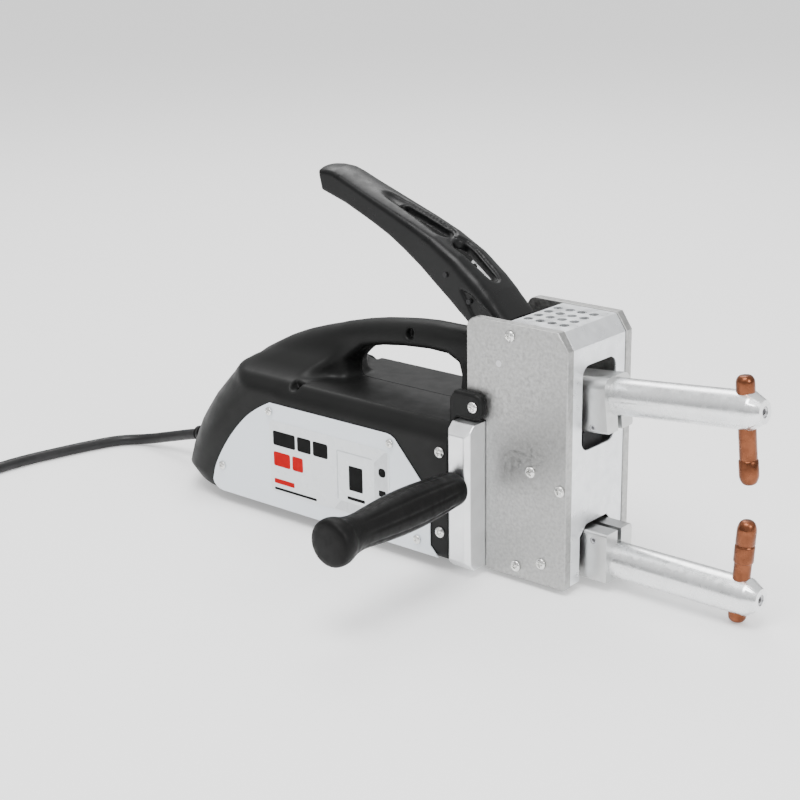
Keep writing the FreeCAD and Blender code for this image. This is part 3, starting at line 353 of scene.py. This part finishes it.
def surface(name, field, low, high, step):
    """A quad mesh on the zero level of a distance field in millimetres."""
    low = np.array(low, float)
    counts = np.ceil((np.array(high, float) - low) / step).astype(int) + 1
    axes = [low[n] + step * np.arange(counts[n]) for n in range(3)]
    grid = np.meshgrid(*axes, indexing="ij")
    values = field(*grid)
    cells = tuple(counts - 1)
    total = np.zeros(cells + (3,))
    hits = np.zeros(cells)
    for start in CORNERS:
        for axis in range(3):
            if start[axis]:
                continue
            end = list(start)
            end[axis] = 1
            a = values[tuple(slice(start[n], start[n] + cells[n]) for n in range(3))]
            b = values[tuple(slice(end[n], end[n] + cells[n]) for n in range(3))]
            crossed = (a < 0) != (b < 0)
            share = np.where(crossed, a / np.where(crossed, a - b, 1), 0)
            hits += crossed
            for n in range(3):
                total[..., n] += np.where(crossed, start[n] + (share if n == axis else 0), 0)
    used = hits > 0
    number = np.full(cells, -1)
    number[used] = np.arange(used.sum())
    where = np.argwhere(used)
    points = low + step * (where + total[used] / hits[used][:, None])
    faces = []
    for axis in range(3):
        u, v = [(1, 2), (2, 0), (0, 1)][axis]
        first = [slice(None)] * 3
        second = [slice(None)] * 3
        first[axis] = slice(0, -1)
        second[axis] = slice(1, None)
        inside = values < 0
        change = inside[tuple(first)].astype(int) - inside[tuple(second)].astype(int)
        spots = np.argwhere(change != 0)
        ok = (spots[:, u] > 0) & (spots[:, v] > 0)
        ok &= (spots[:, u] < counts[u] - 1) & (spots[:, v] < counts[v] - 1)
        spots = spots[ok]
        turn = change[tuple(spots.T)]
        ring = []
        for du, dv in ((1, 1), (0, 1), (0, 0), (1, 0)):
            cell = spots.copy()
            cell[:, u] -= du
            cell[:, v] -= dv
            ring.append(number[tuple(cell.T)])
        quads = np.stack(ring, 1)
        quads[turn < 0] = quads[turn < 0][:, ::-1]
        faces.append(quads)
    faces = np.concatenate(faces)
    for _ in range(SETTLE_ROUNDS):
        value = field(*points.T)
        slope = np.stack([
            (field(*(points + offset).T) - field(*(points - offset).T)) / (2 * PROBE)
            for offset in (np.eye(3) * PROBE)], 1)
        steep = np.maximum((slope ** 2).sum(1), LEAST_STEEP)
        move = (value / steep)[:, None] * slope
        points = points - np.clip(move, -LONGEST_MOVE * step, LONGEST_MOVE * step)
    return mesh_piece(name, points * MM, faces.tolist())


def clipped(item, point, normal):
    """Cuts a mesh flat and closes the cut."""
    work = bmesh.new()
    work.from_mesh(item.data)
    geometry = work.verts[:] + work.edges[:] + work.faces[:]
    found = bmesh.ops.bisect_plane(
        work, geom=geometry, dist=1e-7, plane_co=point, plane_no=normal, clear_outer=True)
    rim = [part for part in found["geom_cut"] if isinstance(part, bmesh.types.BMEdge)]
    bmesh.ops.triangle_fill(work, use_beauty=True, use_dissolve=False, edges=rim, normal=normal)
    bmesh.ops.recalc_face_normals(work, faces=work.faces[:])
    work.to_mesh(item.data)
    work.free()
    return item


def mirrored(name, item):
    """A copy on the other side of the middle plane."""
    mesh = item.data.copy()
    mesh.transform(Matrix.Diagonal((1, -1, 1, 1)))
    mesh.flip_normals()
    twin = bpy.data.objects.new(name, mesh)
    scene.collection.objects.link(twin)
    return twin


# ---------------------------------------------------------------- housing
HOUSING_HALF = 57.5     # half its width
HOUSING_LOW = 8.5       # its underside
HOUSING_FRONT = -11     # its open front
WALL = 6                # thicker than the CAD's, so that the blends never break through
REAR_Z = [8.5, 22, 37, 60, 68, 84, 103, 134]
REAR_X = [-300, -317, -313, -303, -298, -287, -270, -238]
GRIP_TOP = [
    (-282, 88), (-262, 106), (-240, 124), (-216, 136.5), (-197, 144.8), (-178.5, 152), (-157, 159),
    (-135.5, 164.5), (-118, 168), (-101, 170.5), (-84, 172.6), (-67.5, 173.8), (-38.5, 174), (-6, 172.5),
    (-6, 100), (-282, 80)]
GRIP_GAP = [
    (-152, 90), (-150, 130), (-132, 144), (-113, 148.5), (-92, 151.5), (-66, 153.5), (-48, 153), (-37, 148),
    (-32, 138), (-31, 90)]
LUG_SIDE = [
    (-17, 112), (-17, 134), (-13, 140.5), (6, 140.5), (10.3, 138.7), (12, 134.4), (12, 126), (10.3, 121.6),
    (6, 119.9), (-11.4, 119.9), (-11.4, 112)]
# x, z, radius and the depth of the floor, as a distance from the middle plane
SCREW_RECESSES = [(-84, 163, 4.2, -7), (-171, 114.5, 4.8, -43)]


def housing_shell(x, y, z):
    """The housing's outside without the handle or the open front."""
    across = np.abs(y)
    rear = np.interp(z, REAR_Z, REAR_X)
    corner = np.interp(z, [20, 105, 134], [45, 56, 44])
    qx = (rear + corner) - x
    qy = across - (HOUSING_HALF - corner)
    wall = np.minimum(np.maximum(qx, qy), 0) + np.hypot(np.maximum(qx, 0), np.maximum(qy, 0)) - corner
    wall = wall * 0.93
    bevel = 0.785 * (across - HOUSING_HALF) + 0.62 * (z - 105.5)
    deck = smooth_max(bevel, z - 115.5, 2.5)
    slope = 0.607 * (across - 18.5) + 0.795 * (z - 134)
    back = -0.649 * (x + 236) + 0.761 * (z - 134)
    front = 0.80 * (x + 158) + 0.58 * (across - 14) - 0.12 * (z - 115)
    crown = polygon_field(x, z, GRIP_TOP)
    shoulder = smooth_max(smooth_max(smooth_max(slope, back, 10), front, 6), crown, 10)
    roof = smooth_min(deck, shoulder, 8)
    shell = smooth_max(wall, roof, 3.5)
    return smooth_max(shell, HOUSING_LOW - z, 7)


def housing_field(x, y, z):
    """The shell with its handle and lugs, hollowed, with its screw recesses and cable port."""
    across = np.abs(y)
    shell = housing_shell(x, y, z)
    lower_leg = np.clip((150 - z) * 0.25, 0, 9) * np.clip((x + 48) / 18, 0, 1)
    bar = smooth_max(across - 14 - lower_leg, polygon_field(x, z, GRIP_TOP), 15)
    bar = np.maximum(bar, 106 - z)
    bar = smooth_max(bar, -polygon_field(x, z, GRIP_GAP), 6)
    outside = smooth_min(shell, bar, 9)
    lug = smooth_max(polygon_field(x, z, LUG_SIDE), np.maximum(across - 48, 40.7 - across), 1.5)
    outside = smooth_min(np.maximum(outside, x - HOUSING_FRONT), lug, 2.5)
    outside = np.maximum(outside, np.minimum(x - HOUSING_FRONT, 119.6 - z))
    hollow = shell + WALL
    solid = np.maximum(outside, -hollow)
    for cx, cz, radius, depth in SCREW_RECESSES:
        hole = np.maximum(tube_field(x - cx, z - cz, radius), -(across + depth))
        solid = smooth_max(solid, -hole, 1.0)
    port = tube_field(y, z - 31.3 + (x + 311) * -0.194, 9.1)
    return np.maximum(solid, -np.maximum(port, x + 270))


housing = surface("housing_half", housing_field, (-320, -60, 6), (15, 3, 177), 1.7)
clipped(housing, (0, -0.00012, 0), (0, 1, 0))
housing_twin = mirrored("housing_half_left", housing)
dress(housing, "housing_plastic", "frame_unit", "housing_right")
dress(housing_twin, "housing_plastic", "frame_unit", "housing_left")

# ---------------------------------------------------------------- turned pieces and tubes


def aimed(point, direction):
    """A frame at a point in millimetres whose own z runs along a direction."""
    turn = Vector(direction).to_track_quat("Z", "X").to_matrix().to_4x4()
    return Matrix.Translation(Vector(point)) @ turn


def bow(points, steps=4):
    """The same line with rounded corners, its ends kept."""
    line = [np.array(point, float) for point in points]
    for _ in range(steps):
        smoother = [line[0]]
        for a, b in zip(line, line[1:]):
            smoother += [a * 0.75 + b * 0.25, a * 0.25 + b * 0.75]
        line = smoother + [line[-1]]
    return [tuple(point) for point in line]


def lathe_shape(profile, place, sides=40, flute=None):
    """Vertices and faces of a turned piece; its profile is a line of (radius, height)."""
    angles = np.arange(sides) * 2 * math.pi / sides
    vertices = []
    for radius, height in profile:
        reach = np.full(sides, float(radius))
        if flute:
            reach = reach * flute(angles, height)
        vertices += [(r * math.cos(a), r * math.sin(a), height) for r, a in zip(reach, angles)]
    faces = []
    for row in range(len(profile) - 1):
        for n in range(sides):
            after = (n + 1) % sides
            low, high = row * sides, (row + 1) * sides
            faces.append((low + n, low + after, high + after, high + n))
    faces.append(tuple(reversed(range(sides))))
    faces.append(tuple((len(profile) - 1) * sides + n for n in range(sides)))
    return [tuple(place @ Vector(vertex)) for vertex in vertices], faces


def joined(name, shapes, sharp=35):
    """One mesh from several lists of vertices in millimetres and faces."""
    vertices = []
    faces = []
    for points, polygons in shapes:
        shift = len(vertices)
        vertices += [tuple(c * MM for c in point) for point in points]
        faces += [tuple(n + shift for n in polygon) for polygon in polygons]
    item = mesh_piece(name, vertices, faces)
    item.data.set_sharp_from_angle(angle=math.radians(sharp))
    return item


def tube_shape(points, radius, sides=14):
    """Vertices and faces of a round wire along points in millimetres."""
    line = [Vector(point) for point in points]
    vertices = []
    across = None
    for n, point in enumerate(line):
        ahead = (line[min(n + 1, len(line) - 1)] - line[max(n - 1, 0)]).normalized()
        if across is None:
            across = ahead.orthogonal().normalized()
        across = (across - ahead * across.dot(ahead)).normalized()
        other = ahead.cross(across)
        for k in range(sides):
            angle = 2 * math.pi * k / sides
            vertices.append(tuple(point + (across * math.cos(angle) + other * math.sin(angle)) * radius))
    faces = []
    for row in range(len(line) - 1):
        for k in range(sides):
            after = (k + 1) % sides
            low, high = row * sides, (row + 1) * sides
            faces.append((low + k, low + after, high + after, high + k))
    faces.append(tuple(reversed(range(sides))))
    faces.append(tuple((len(line) - 1) * sides + k for k in range(sides)))
    return vertices, faces


# ---------------------------------------------------------------- screws


def islands(node):
    """The boxes, in millimetres, of the separate solids of a CAD node."""
    mesh = NODES[node].data
    world = NODES[node].matrix_world
    points = np.array([tuple(world @ vertex.co) for vertex in mesh.vertices]) / MM
    keys = {}
    parent = list(range(len(points)))

    def root(n):
        while parent[n] != n:
            parent[n] = parent[parent[n]]
            n = parent[n]
        return n

    for n, key in enumerate(map(tuple, np.round(points, 2))):
        if key in keys:
            parent[root(n)] = root(keys[key])
        keys[key] = n
    for edge in mesh.edges:
        parent[root(edge.vertices[0])] = root(edge.vertices[1])
    roots = np.array([root(n) for n in range(len(points))])
    return [(points[roots == r].min(0), points[roots == r].max(0)) for r in sorted(set(roots))]


def screw_shapes(low, high, turn):
    """A domed screw with a cross recess and its shank, for a solid that lies along y."""
    side = -1 if (low[1] + high[1]) < 0 else 1
    radius = (high[0] - low[0]) / 2
    outer = max(abs(low[1]), abs(high[1]))
    inner = min(abs(low[1]), abs(high[1]))
    rise = 2.4 if radius > 3.8 else 1.9
    place = aimed(((low[0] + high[0]) / 2, side * (outer - rise), (low[2] + high[2]) / 2), (0, side, 0))
    rings = 18
    sides = 56
    vertices = []
    for ring in range(rings + 1):
        reach = radius * ring / rings
        for n in range(sides):
            angle = 2 * math.pi * n / sides
            u = reach * math.cos(angle + turn)
            v = reach * math.sin(angle + turn)
            narrow = min(abs(u), abs(v))
            wide = max(abs(u), abs(v))
            arm = min(max((radius * 0.17 - narrow) / 0.18, 0), 1)
            arm *= min(max((radius * 0.56 - wide) / 0.3, 0), 1)
            dome = rise * (1 - 0.62 * (ring / rings) ** 3)
            vertices.append((reach * math.cos(angle), reach * math.sin(angle), dome - arm * rise * 0.6))
    vertices += [(radius * math.cos(2 * math.pi * n / sides), radius * math.sin(2 * math.pi * n / sides), 0)
                 for n in range(sides)]
    faces = []
    for ring in range(rings + 1):
        for n in range(sides):
            after = (n + 1) % sides
            a, b = ring * sides, (ring + 1) * sides
            faces.append((a + n, b + n, b + after, a + after))
    head = ([tuple(place @ Vector(vertex)) for vertex in vertices], faces)
    shank = radius * 0.58
    length = outer - rise - inner
    body = lathe_shape([(shank * 0.7, -length), (shank, -length + 0.8), (shank, 0.2)], place, 20)
    return [head, body]


for node in ("head_screws", "housing_screws", "panel_screws"):
    shapes = []
    for count, (low, high) in enumerate(islands(node)):
        shapes += screw_shapes(low, high, 0.4 + 1.3 * count)
    dress(joined(node + "_detailed", shapes, 50), SLOT_OF[node], "frame_unit", node)

# ---------------------------------------------------------------- lever
LEVER_PIN = (22, 165)   # x and z of the axis it turns on
LEVER_LOW = [(-169, 265.5), (-144, 258), (-117, 247), (-100, 239.3), (-84.5, 230.5), (-68, 219.8),
             (-52.5, 208.3), (-38, 197.8), (-24, 187), (2, 164), (12, 154), (19, 151.5), (26, 153), (31, 157),
             (33, 163)]
LEVER_TOP = [(31, 174), (24, 181), (14, 189), (4, 200), (-4, 208.5), (-14, 217.5), (-34, 232.2), (-57, 244.6),
             (-80, 254), (-96, 260), (-112, 266), (-126, 271.3), (-139, 276.3), (-150, 280.8), (-158, 283.4),
             (-166, 284), (-173.5, 283.4)]
LEVER_ROOF = [(-22, 213), (-38, 224), (-57, 235.5), (-80, 244.8), (-112, 256), (-146, 268)]
POCKET = [(-28, 208.5), (-17, 205), (4, 190), (-8, 184), (-14, 186)]


def lever_field(x, y, z):
    """A crowned channel, open below, with two slots, a thumb dish, side pockets and the pin's bore."""
    across = np.abs(y)
    half = np.interp(x, [-174, -150, -110, -60, -30, 33], [15.6, 16.2, 17.6, 19.6, 21.2, 21.4])
    crown = 3.6 * (across / half) ** 2
    crown = crown * np.interp(x, [0, 20], [1, 0])
    outline = polygon_field(x, z, LEVER_LOW + LEVER_TOP)
    crest = polygon_field(x, z + crown, [(-169, 160), (33, 100), (33, 163)] + LEVER_TOP)
    ease = np.interp(x, [-175, -120, -70, -20, 30], [2.2, 2.6, 4.5, 8.0, 9.0])
    lip = across - half
    body = np.maximum(crest, lip) + np.maximum(ease - np.abs(crest - lip), 0) ** 2 / ease / 4
    body = smooth_max(body, outline, 1.5)
    room = [(-146, 240), (40, 140), (40, 188), (8, 189), (-3, 198)] + LEVER_ROOF
    inside = polygon_field(x, z + 0.7 * crown, room)
    inside = np.maximum(inside, across - half + 4)
    body = smooth_max(body, -inside, 1.5)
    for start, end, near, far in ((-97, -61, 4.2, 7.6), (-42, -17, 7.4, 4.6)):
        share = np.clip((x - start) / (end - start), 0, 1)
        slot = np.sqrt((x - start - share * (end - start)) ** 2 + y ** 2) - near - share * (far - near)
        slot = np.maximum(slot, 190 - z)
        dish = np.maximum(slot - 2.6, -crest - 1.6)
        body = smooth_max(smooth_max(body, -dish, 1.6), -slot, 1.6)
    along = x + 104
    scoop = np.sqrt((along * 0.42) ** 2 + (y * 0.8) ** 2 + ((z - 263.5 + along * 0.36) * 1.3) ** 2) - 5.6
    body = smooth_max(body, -scoop, 1.5)
    pocket = np.maximum(polygon_field(x, z, POCKET), half - 1.5 - across)
    body = smooth_max(body, -pocket, 0.8)
    return np.maximum(body, 5.06 - np.sqrt((x - LEVER_PIN[0]) ** 2 + (z - LEVER_PIN[1]) ** 2))


lever = surface("lever_moulded", lever_field, (-177, -24, 149), (36, 24, 285), 1.25)
dress(lever, "lever_plastic", "lever_unit", "lever")

# ---------------------------------------------------------------- return springs
SPRING_REACH = 7.5      # radius of the wound wire
SPRING_STEPS = 96       # four turns
shapes = []
for side in (-1, 1):
    wire = []
    for n in range(SPRING_STEPS + 1):
        angle = 2 * math.pi * n / 24 + 0.6
        outward = side * (24.9 + 6.9 * n / SPRING_STEPS)
        wire.append((LEVER_PIN[0] + SPRING_REACH * math.cos(angle), outward,
                     LEVER_PIN[1] + SPRING_REACH * math.sin(angle)))
    shapes.append(tube_shape(wire, 0.85, 10))
dress(joined("return_springs_wound", shapes, 60), "spring_steel", BODY_OF["return_springs"], "return_springs")

# ---------------------------------------------------------------- side handle


def grooves(angles, height):
    """Shallow lengthwise grooves along the middle of the grip."""
    window = min(max((height - 6) / 14, 0), 1) * min(max((112 - height) / 16, 0), 1)
    return 1 - 0.045 * window * np.maximum(np.cos(9 * angles), 0) ** 3


HANDLE = bow([
    (8, 0), (11.4, 0.2), (12.8, 2.5), (13.2, 10), (14.6, 26), (15.8, 44), (16, 62), (15.2, 80), (13.9, 95),
    (12.9, 106), (13.2, 114), (15.0, 122.5), (17.2, 128), (17.6, 132.5), (16.6, 136.8), (12.5, 138.2),
    (6, 138.5), (0.6, 138.5)], 2)
handle = joined("side_handle_grooved", [
    lathe_shape(HANDLE, aimed((0, -62.5, 71.9), (0, -1, 0)), 108, grooves)], 60)
dress(handle, "handle_rubber", "frame_unit", "side_handle")

# ---------------------------------------------------------------- electrodes and caps
LEAN = math.radians(3.7)        # of the lower electrode
TILT = math.radians(5.5)        # of the open upper arm
LOWER_FACE = (204.4, 0, 77.3)   # middle of the lower cap's face


def node_points(node):
    """The corners of a CAD node's mesh at rest, in millimetres."""
    return [vertex.co / MM for vertex in NODES[node].data.vertices]


def electrode(name, node, face, axis, profile, sides=48):
    """A turned copper piece; its profile's height is measured from the cap's face, back along the holder."""
    shape = lathe_shape(profile, aimed(face, axis), sides)
    return dress(joined(name, [shape], 50), SLOT_OF[node], BODY_OF[node], node)


CAP_PROFILE = bow([(0.4, 0), (3.2, 0.1), (5.6, 2.0), (6.8, 6.0)], 2) + [
    (6.9, 8), (6.9, 17.2), (6.5, 17.8), (6.2, 18)]
lower_axis = (math.sin(-LEAN), 0, -math.cos(LEAN))
electrode("lower_cap_turned", "lower_cap", LOWER_FACE, lower_axis, CAP_PROFILE)
electrode("lower_electrode_turned", "lower_electrode", LOWER_FACE, lower_axis, [
    (6.3, 17.9), (6.4, 18.3), (6.9, 18.7), (7.1, 19.4), (7.1, 30.2), (6.8, 30.9), (6.2, 31.1), (6.2, 50),
    (6.2, 65), (6.5, 66.5)] + bow([(6.5, 70), (6.3, 73.8), (4.4, 76.2), (0.4, 76.4)], 2))
upper_axis = Vector((-math.sin(TILT), 0, math.cos(TILT)))
upper_points = node_points("upper_cap")
upper_face = sum(upper_points, Vector()) / len(upper_points)
upper_face -= upper_axis * max((upper_face - point).dot(upper_axis) for point in upper_points)
upper_face.y = 0
electrode("upper_cap_turned", "upper_cap", upper_face, upper_axis, CAP_PROFILE)
stem = max((point - upper_face).dot(upper_axis) for point in node_points("upper_electrode"))
electrode("upper_electrode_turned", "upper_electrode", upper_face, upper_axis, [
    (6.1, 17.9), (6.2, 18.3), (6.2, stem - 14), (6.5, stem - 11)]
    + bow([(6.5, stem - 6.5), (6.4, stem - 3.4), (4.6, stem - 0.6), (2.2, stem - 0.1), (0.4, stem)], 2))

# ---------------------------------------------------------------- flexible shunt


def foil_strip(path, near, far, half):
    """A closed strip between two offsets from a path in x and z, with its width along y."""
    vertices = []
    for count, (x, z) in enumerate(path):
        before = path[max(count - 1, 0)]
        after = path[min(count + 1, len(path) - 1)]
        run = math.hypot(after[0] - before[0], after[1] - before[1])
        nx, nz = (after[1] - before[1]) / run, -(after[0] - before[0]) / run
        for offset, y in ((near, half), (far, half), (far, -half), (near, -half)):
            vertices.append((x + nx * offset, y, z + nz * offset))
    faces = [(0, 1, 2, 3), tuple(len(vertices) - n for n in (1, 2, 3, 4))]
    for row in range(0, len(vertices) - 4, 4):
        for k in range(4):
            after = (k + 1) % 4
            faces.append((row + k, row + 4 + k, row + 4 + after, row + after))
    return vertices, faces


SHUNT_PATH = [(60.2, 51), (64, 51)] + bow([(67, 51), (70.5, 52.2), (73, 55), (74, 59)], 3)
SHUNT_PATH += [(74, 62 + 3.2 * n) for n in range(18)]
shunt = joined("shunt_foils", [foil_strip(SHUNT_PATH, -2.5 + n, -1.65 + n, 12) for n in range(5)], 40)
shunt.data.materials.clear()
shunt.data.materials.append(MATERIALS["sleeve"].material)
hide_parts("flexible_shunt")
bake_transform(shunt)

# ---------------------------------------------------------------- printed label


def flat_shape(outline, outer, thick, side):
    """A thin plate with an outline in x and z whose outer face is at a distance from the middle."""
    count = len(outline)
    vertices = [(x, side * depth, z) for depth in (outer, outer - thick) for x, z in outline]
    order = list(range(count))
    if side > 0:
        faces = [tuple(reversed(order)), tuple(n + count for n in order)]
    else:
        faces = [tuple(order), tuple(n + count for n in reversed(order))]
    for n in order:
        after = (n + 1) % count
        ring = (n, n + count, after + count, after)
        faces.append(ring if side < 0 else tuple(reversed(ring)))
    return vertices, faces


def rounded(x0, z0, x1, z1, radius):
    """A rectangle with rounded corners, drawn around once."""
    points = []
    for cx, cz, start in ((x1 - radius, z0 + radius, -90), (x1 - radius, z1 - radius, 0),
                          (x0 + radius, z1 - radius, 90), (x0 + radius, z0 + radius, 180)):
        for step in range(5):
            angle = math.radians(start + 22.5 * step)
            points.append((cx + radius * math.cos(angle), cz + radius * math.sin(angle)))
    return points


PRINTS = {
    "print_dark": [rounded(-189, 64, -165, 76, 1.5), rounded(-162.5, 64, -148, 76, 1.5),
                   rounded(-145.5, 64, -130, 76, 1.5), rounded(-189, 26, -143, 28, 0.8),
                   rounded(-110, 36, -92, 38.5, 0.8), rounded(-77.5, 62, -70.5, 69, 2.6),
                   rounded(-77.5, 46, -70.5, 51, 1.0), rounded(-108, 44, -94, 64, 0.8)],
    "print_red": [rounded(-189, 46.5, -171, 58.5, 1.5), rounded(-168.5, 46.5, -157, 58.5, 1.5),
                  rounded(-189, 31.5, -167, 35.5, 0.8)],
    "print_grey": [[(-119.5, 74.6), (-119.5, 73.6), (-84, 73.6), (-84, 74.6)],
                   [(-119.5, 74), (-120.5, 74), (-120.5, 34), (-119.5, 34)]],
    "print_light": [[(-82, 27), (-68.5, 35), (-68.5, 82.5), (-71, 82.5), (-82, 72)],
                    [(-124, 25), (-84, 25), (-88, 33), (-117, 33)]],
}
PANEL_FACE = 58.8       # from the middle plane to the painted face
PANEL_ARC = bow([(-262, 18), (-258, 33), (-242, 58), (-223, 79), (-208, 90), (-193, 98)], 3)
PANEL = [(-255, 10.6), (-258.5, 12.5), (-261, 15)] + PANEL_ARC + [
    (-70, 98), (-66, 97.3), (-62.5, 95.5), (-28, 58), (-28, 18), (-20, 10), (-251, 10)]
for side, label in ((-1, "right"), (1, "left")):
    shape = flat_shape(list(reversed(PANEL)), PANEL_FACE, 1.2, side)
    panel = joined("side_panel_" + label + "_smooth", [shape])
    edge = panel.modifiers.new("edge", "BEVEL")
    edge.width = 0.35 * MM
    edge.segments = 2
    edge.angle_limit = math.radians(50)
    apply_modifiers(panel)
    dress(panel, SLOT_OF["side_panel_right"], "frame_unit", "side_panel_" + label)
for look, outlines in PRINTS.items():
    lift = 59.36 if look in ("print_light", "print_grey") else 59.40
    for side, label in ((-1, "right"), (1, "left")):
        shapes = [flat_shape([(x, z) for x, z in outline], lift, 0.2, side) for outline in outlines]
        marks = joined(look + "_marks_" + label, shapes)
        dress(marks, "label_film", "frame_unit", look=look)

# ---------------------------------------------------------------- strain relief and plug
RELIEF = [(11.3, -11.8), (11.5, -11.4), (11.5, -9.2), (11.2, -8.8), (9.1, -8.6), (9.1, 5)]
for rib in range(5):
    foot = 6.2 + 4.9 * rib
    wide = 9.0 - 0.5 * rib
    RELIEF += [(wide, foot), (wide, foot + 2.6), (wide - 1.5, foot + 3.0), (wide - 1.6, foot + 4.5)]
RELIEF += [(6.6, 30.8), (6.2, 31.2), (5.0, 31.2)]
slope = math.radians(11)
relief = joined("strain_relief_ribbed", [
    lathe_shape(RELIEF, aimed((-311, 0, 31.3), (-math.cos(slope), 0, -math.sin(slope))), 40)], 30)
dress(relief, "cord_rubber", "frame_unit", "strain_relief")
PLUG = [(5.2, 0), (6.2, 0.6)]
for rib in range(4):
    foot = 1.5 + 5.2 * rib
    wide = 7.0 + 1.3 * rib
    PLUG += [(wide, foot), (wide + 0.5, foot + 2.8), (wide - 0.9, foot + 3.3), (wide - 0.6, foot + 5.0)]
PLUG += bow([(12.2, 23), (13.5, 25.5), (16.6, 28), (17.3, 33), (17.3, 48), (17.3, 52)], 1) + [
    (16.6, 53), (15.0, 53.6), (15.0, 59.4), (14.4, 60), (0.5, 60)]


def finger_flats(angles, height):
    """Grip flats on the plug's body."""
    window = min(max((height - 28) / 4, 0), 1) * min(max((52 - height) / 4, 0), 1)
    return 1 - 0.035 * window * np.maximum(np.cos(16 * angles), 0)


plug = joined("plug_moulded", [
    lathe_shape(PLUG, aimed((-588, -262, 17.5), (-1, 0, 0)), 96, finger_flats)], 40)
dress(plug, "plug_rubber", BODY_OF["plug_body"], "plug_body")
pins = joined("plug_pins_turned", [
    lathe_shape([(2.4, 0), (2.4, 16)] + bow([(2.4, 17), (2.1, 18.6), (0.3, 19)], 1),
                aimed((-648, -262 + across, 17.5), (-1, 0, 0)), 28) for across in (-9.5, 9.5)], 45)
dress(pins, SLOT_OF["plug_pins"], BODY_OF["plug_pins"], "plug_pins")

# ---------------------------------------------------------------- mains cord
CORD_RADIUS = 4.75
COIL_MIDDLE = (-520, -196)
ROUTE = [
    (-280, 0, 34.2), (-311, 0, 31.3), (-344, 0.5, 24.5), (-381, 1, 13.5), (-411, -1, 5.2), (-430, -17, 4.75),
    (-440, -45, 4.75), (-449, -80, 4.75), (-456, -113, 4.75), (-457, -146, 4.75), (-458.2, -178, 4.75)]
TAIL = [(-526, -257.8, 14.25), (-549, -259.5, 14.6), (-573, -261.2, 15.8), (-596, -261.8, 17)]


def coil_points():
    """Two layers of turns around the coil's middle: inwards on the floor, then outwards on top."""
    points = []
    steps = 78
    for n in range(1, steps):
        turn = 4.31 * n / steps
        angle = math.radians(16.2 - 360 * turn)
        if turn < 2:
            reach, height = 62 - 9.5 * turn, CORD_RADIUS
        elif turn < 2.31:
            reach, height = 43, CORD_RADIUS + 9.5 * (turn - 2) / 0.31
        else:
            reach, height = 43 + 9.5 * (turn - 2.31), 14.25
        points.append((COIL_MIDDLE[0] + reach * math.cos(angle), COIL_MIDDLE[1] + reach * math.sin(angle),
                       height))
    return points


def add_cord():
    """The cord from the strain relief, through its coil, to the plug."""
    curve = bpy.data.curves.new("mains_cord", "CURVE")
    curve.dimensions = "3D"
    curve.bevel_depth = CORD_RADIUS * MM
    curve.bevel_resolution = 5
    curve.use_fill_caps = True
    points = ROUTE + coil_points() + TAIL
    spline = curve.splines.new("NURBS")
    spline.points.add(len(points) - 1)
    for point, place in zip(spline.points, points):
        point.co = (place[0] * MM, place[1] * MM, place[2] * MM, 1)
    spline.order_u = 3
    spline.use_endpoint_u = True
    spline.resolution_u = 8
    cord = bpy.data.objects.new("mains_cord", curve)
    scene.collection.objects.link(cord)
    dress(cord, "cord_rubber", "frame_unit", "cord_tube", "cord_coil", "cord_tail")


add_cord()

# ---------------------------------------------------------------- floor and light


def add_stage():
    """A pale floor, a soft sky and three area lights."""
    bpy.ops.mesh.primitive_plane_add(size=50, location=(0, 0, -0.0002))
    floor = bpy.context.object
    floor.name = "floor"
    look = bpy.data.materials.new("floor_white")
    look.use_nodes = True
    paint = look.node_tree.nodes["Principled BSDF"]
    paint.inputs["Base Color"].default_value = (0.9, 0.9, 0.9, 1)
    paint.inputs["Roughness"].default_value = 0.9
    paint.inputs["Specular IOR Level"].default_value = 0.1
    paint.inputs["Emission Color"].default_value = (1, 1, 1, 1)
    paint.inputs["Emission Strength"].default_value = 0.36
    floor.data.materials.append(look)
    world = bpy.data.worlds.new("soft_world")
    scene.world = world
    world.use_nodes = True
    nodes = world.node_tree.nodes
    links = world.node_tree.links
    place = nodes.new("ShaderNodeTexCoord")
    split = nodes.new("ShaderNodeSeparateXYZ")
    sky = nodes.new("ShaderNodeValToRGB")
    links.new(place.outputs["Generated"], split.inputs["Vector"])
    links.new(split.outputs["Z"], sky.inputs["Fac"])
    links.new(sky.outputs["Color"], nodes["Background"].inputs["Color"])
    sky.color_ramp.elements[0].position = 0.02
    sky.color_ramp.elements[0].color = (0.42, 0.425, 0.43, 1)
    sky.color_ramp.elements[1].position = 0.55
    sky.color_ramp.elements[1].color = (1, 1, 1, 1)
    nodes["Background"].inputs["Strength"].default_value = 1.05
    for name, place, size, power in (
            ("key", (0.15, -0.75, 2.1), 1.2, 46),
            ("fill", (1.9, -0.3, 1.2), 0.9, 20),
            ("rim", (-1.0, 1.1, 1.9), 1.2, 24)):
        data = bpy.data.lights.new(name, "AREA")
        data.size = size
        data.energy = power
        item = bpy.data.objects.new(name, data)
        scene.collection.objects.link(item)
        item.location = place
        item.rotation_euler = (Vector((0, 0, 0.1)) - Vector(place)).to_track_quat("-Z", "Y").to_euler()


add_stage()
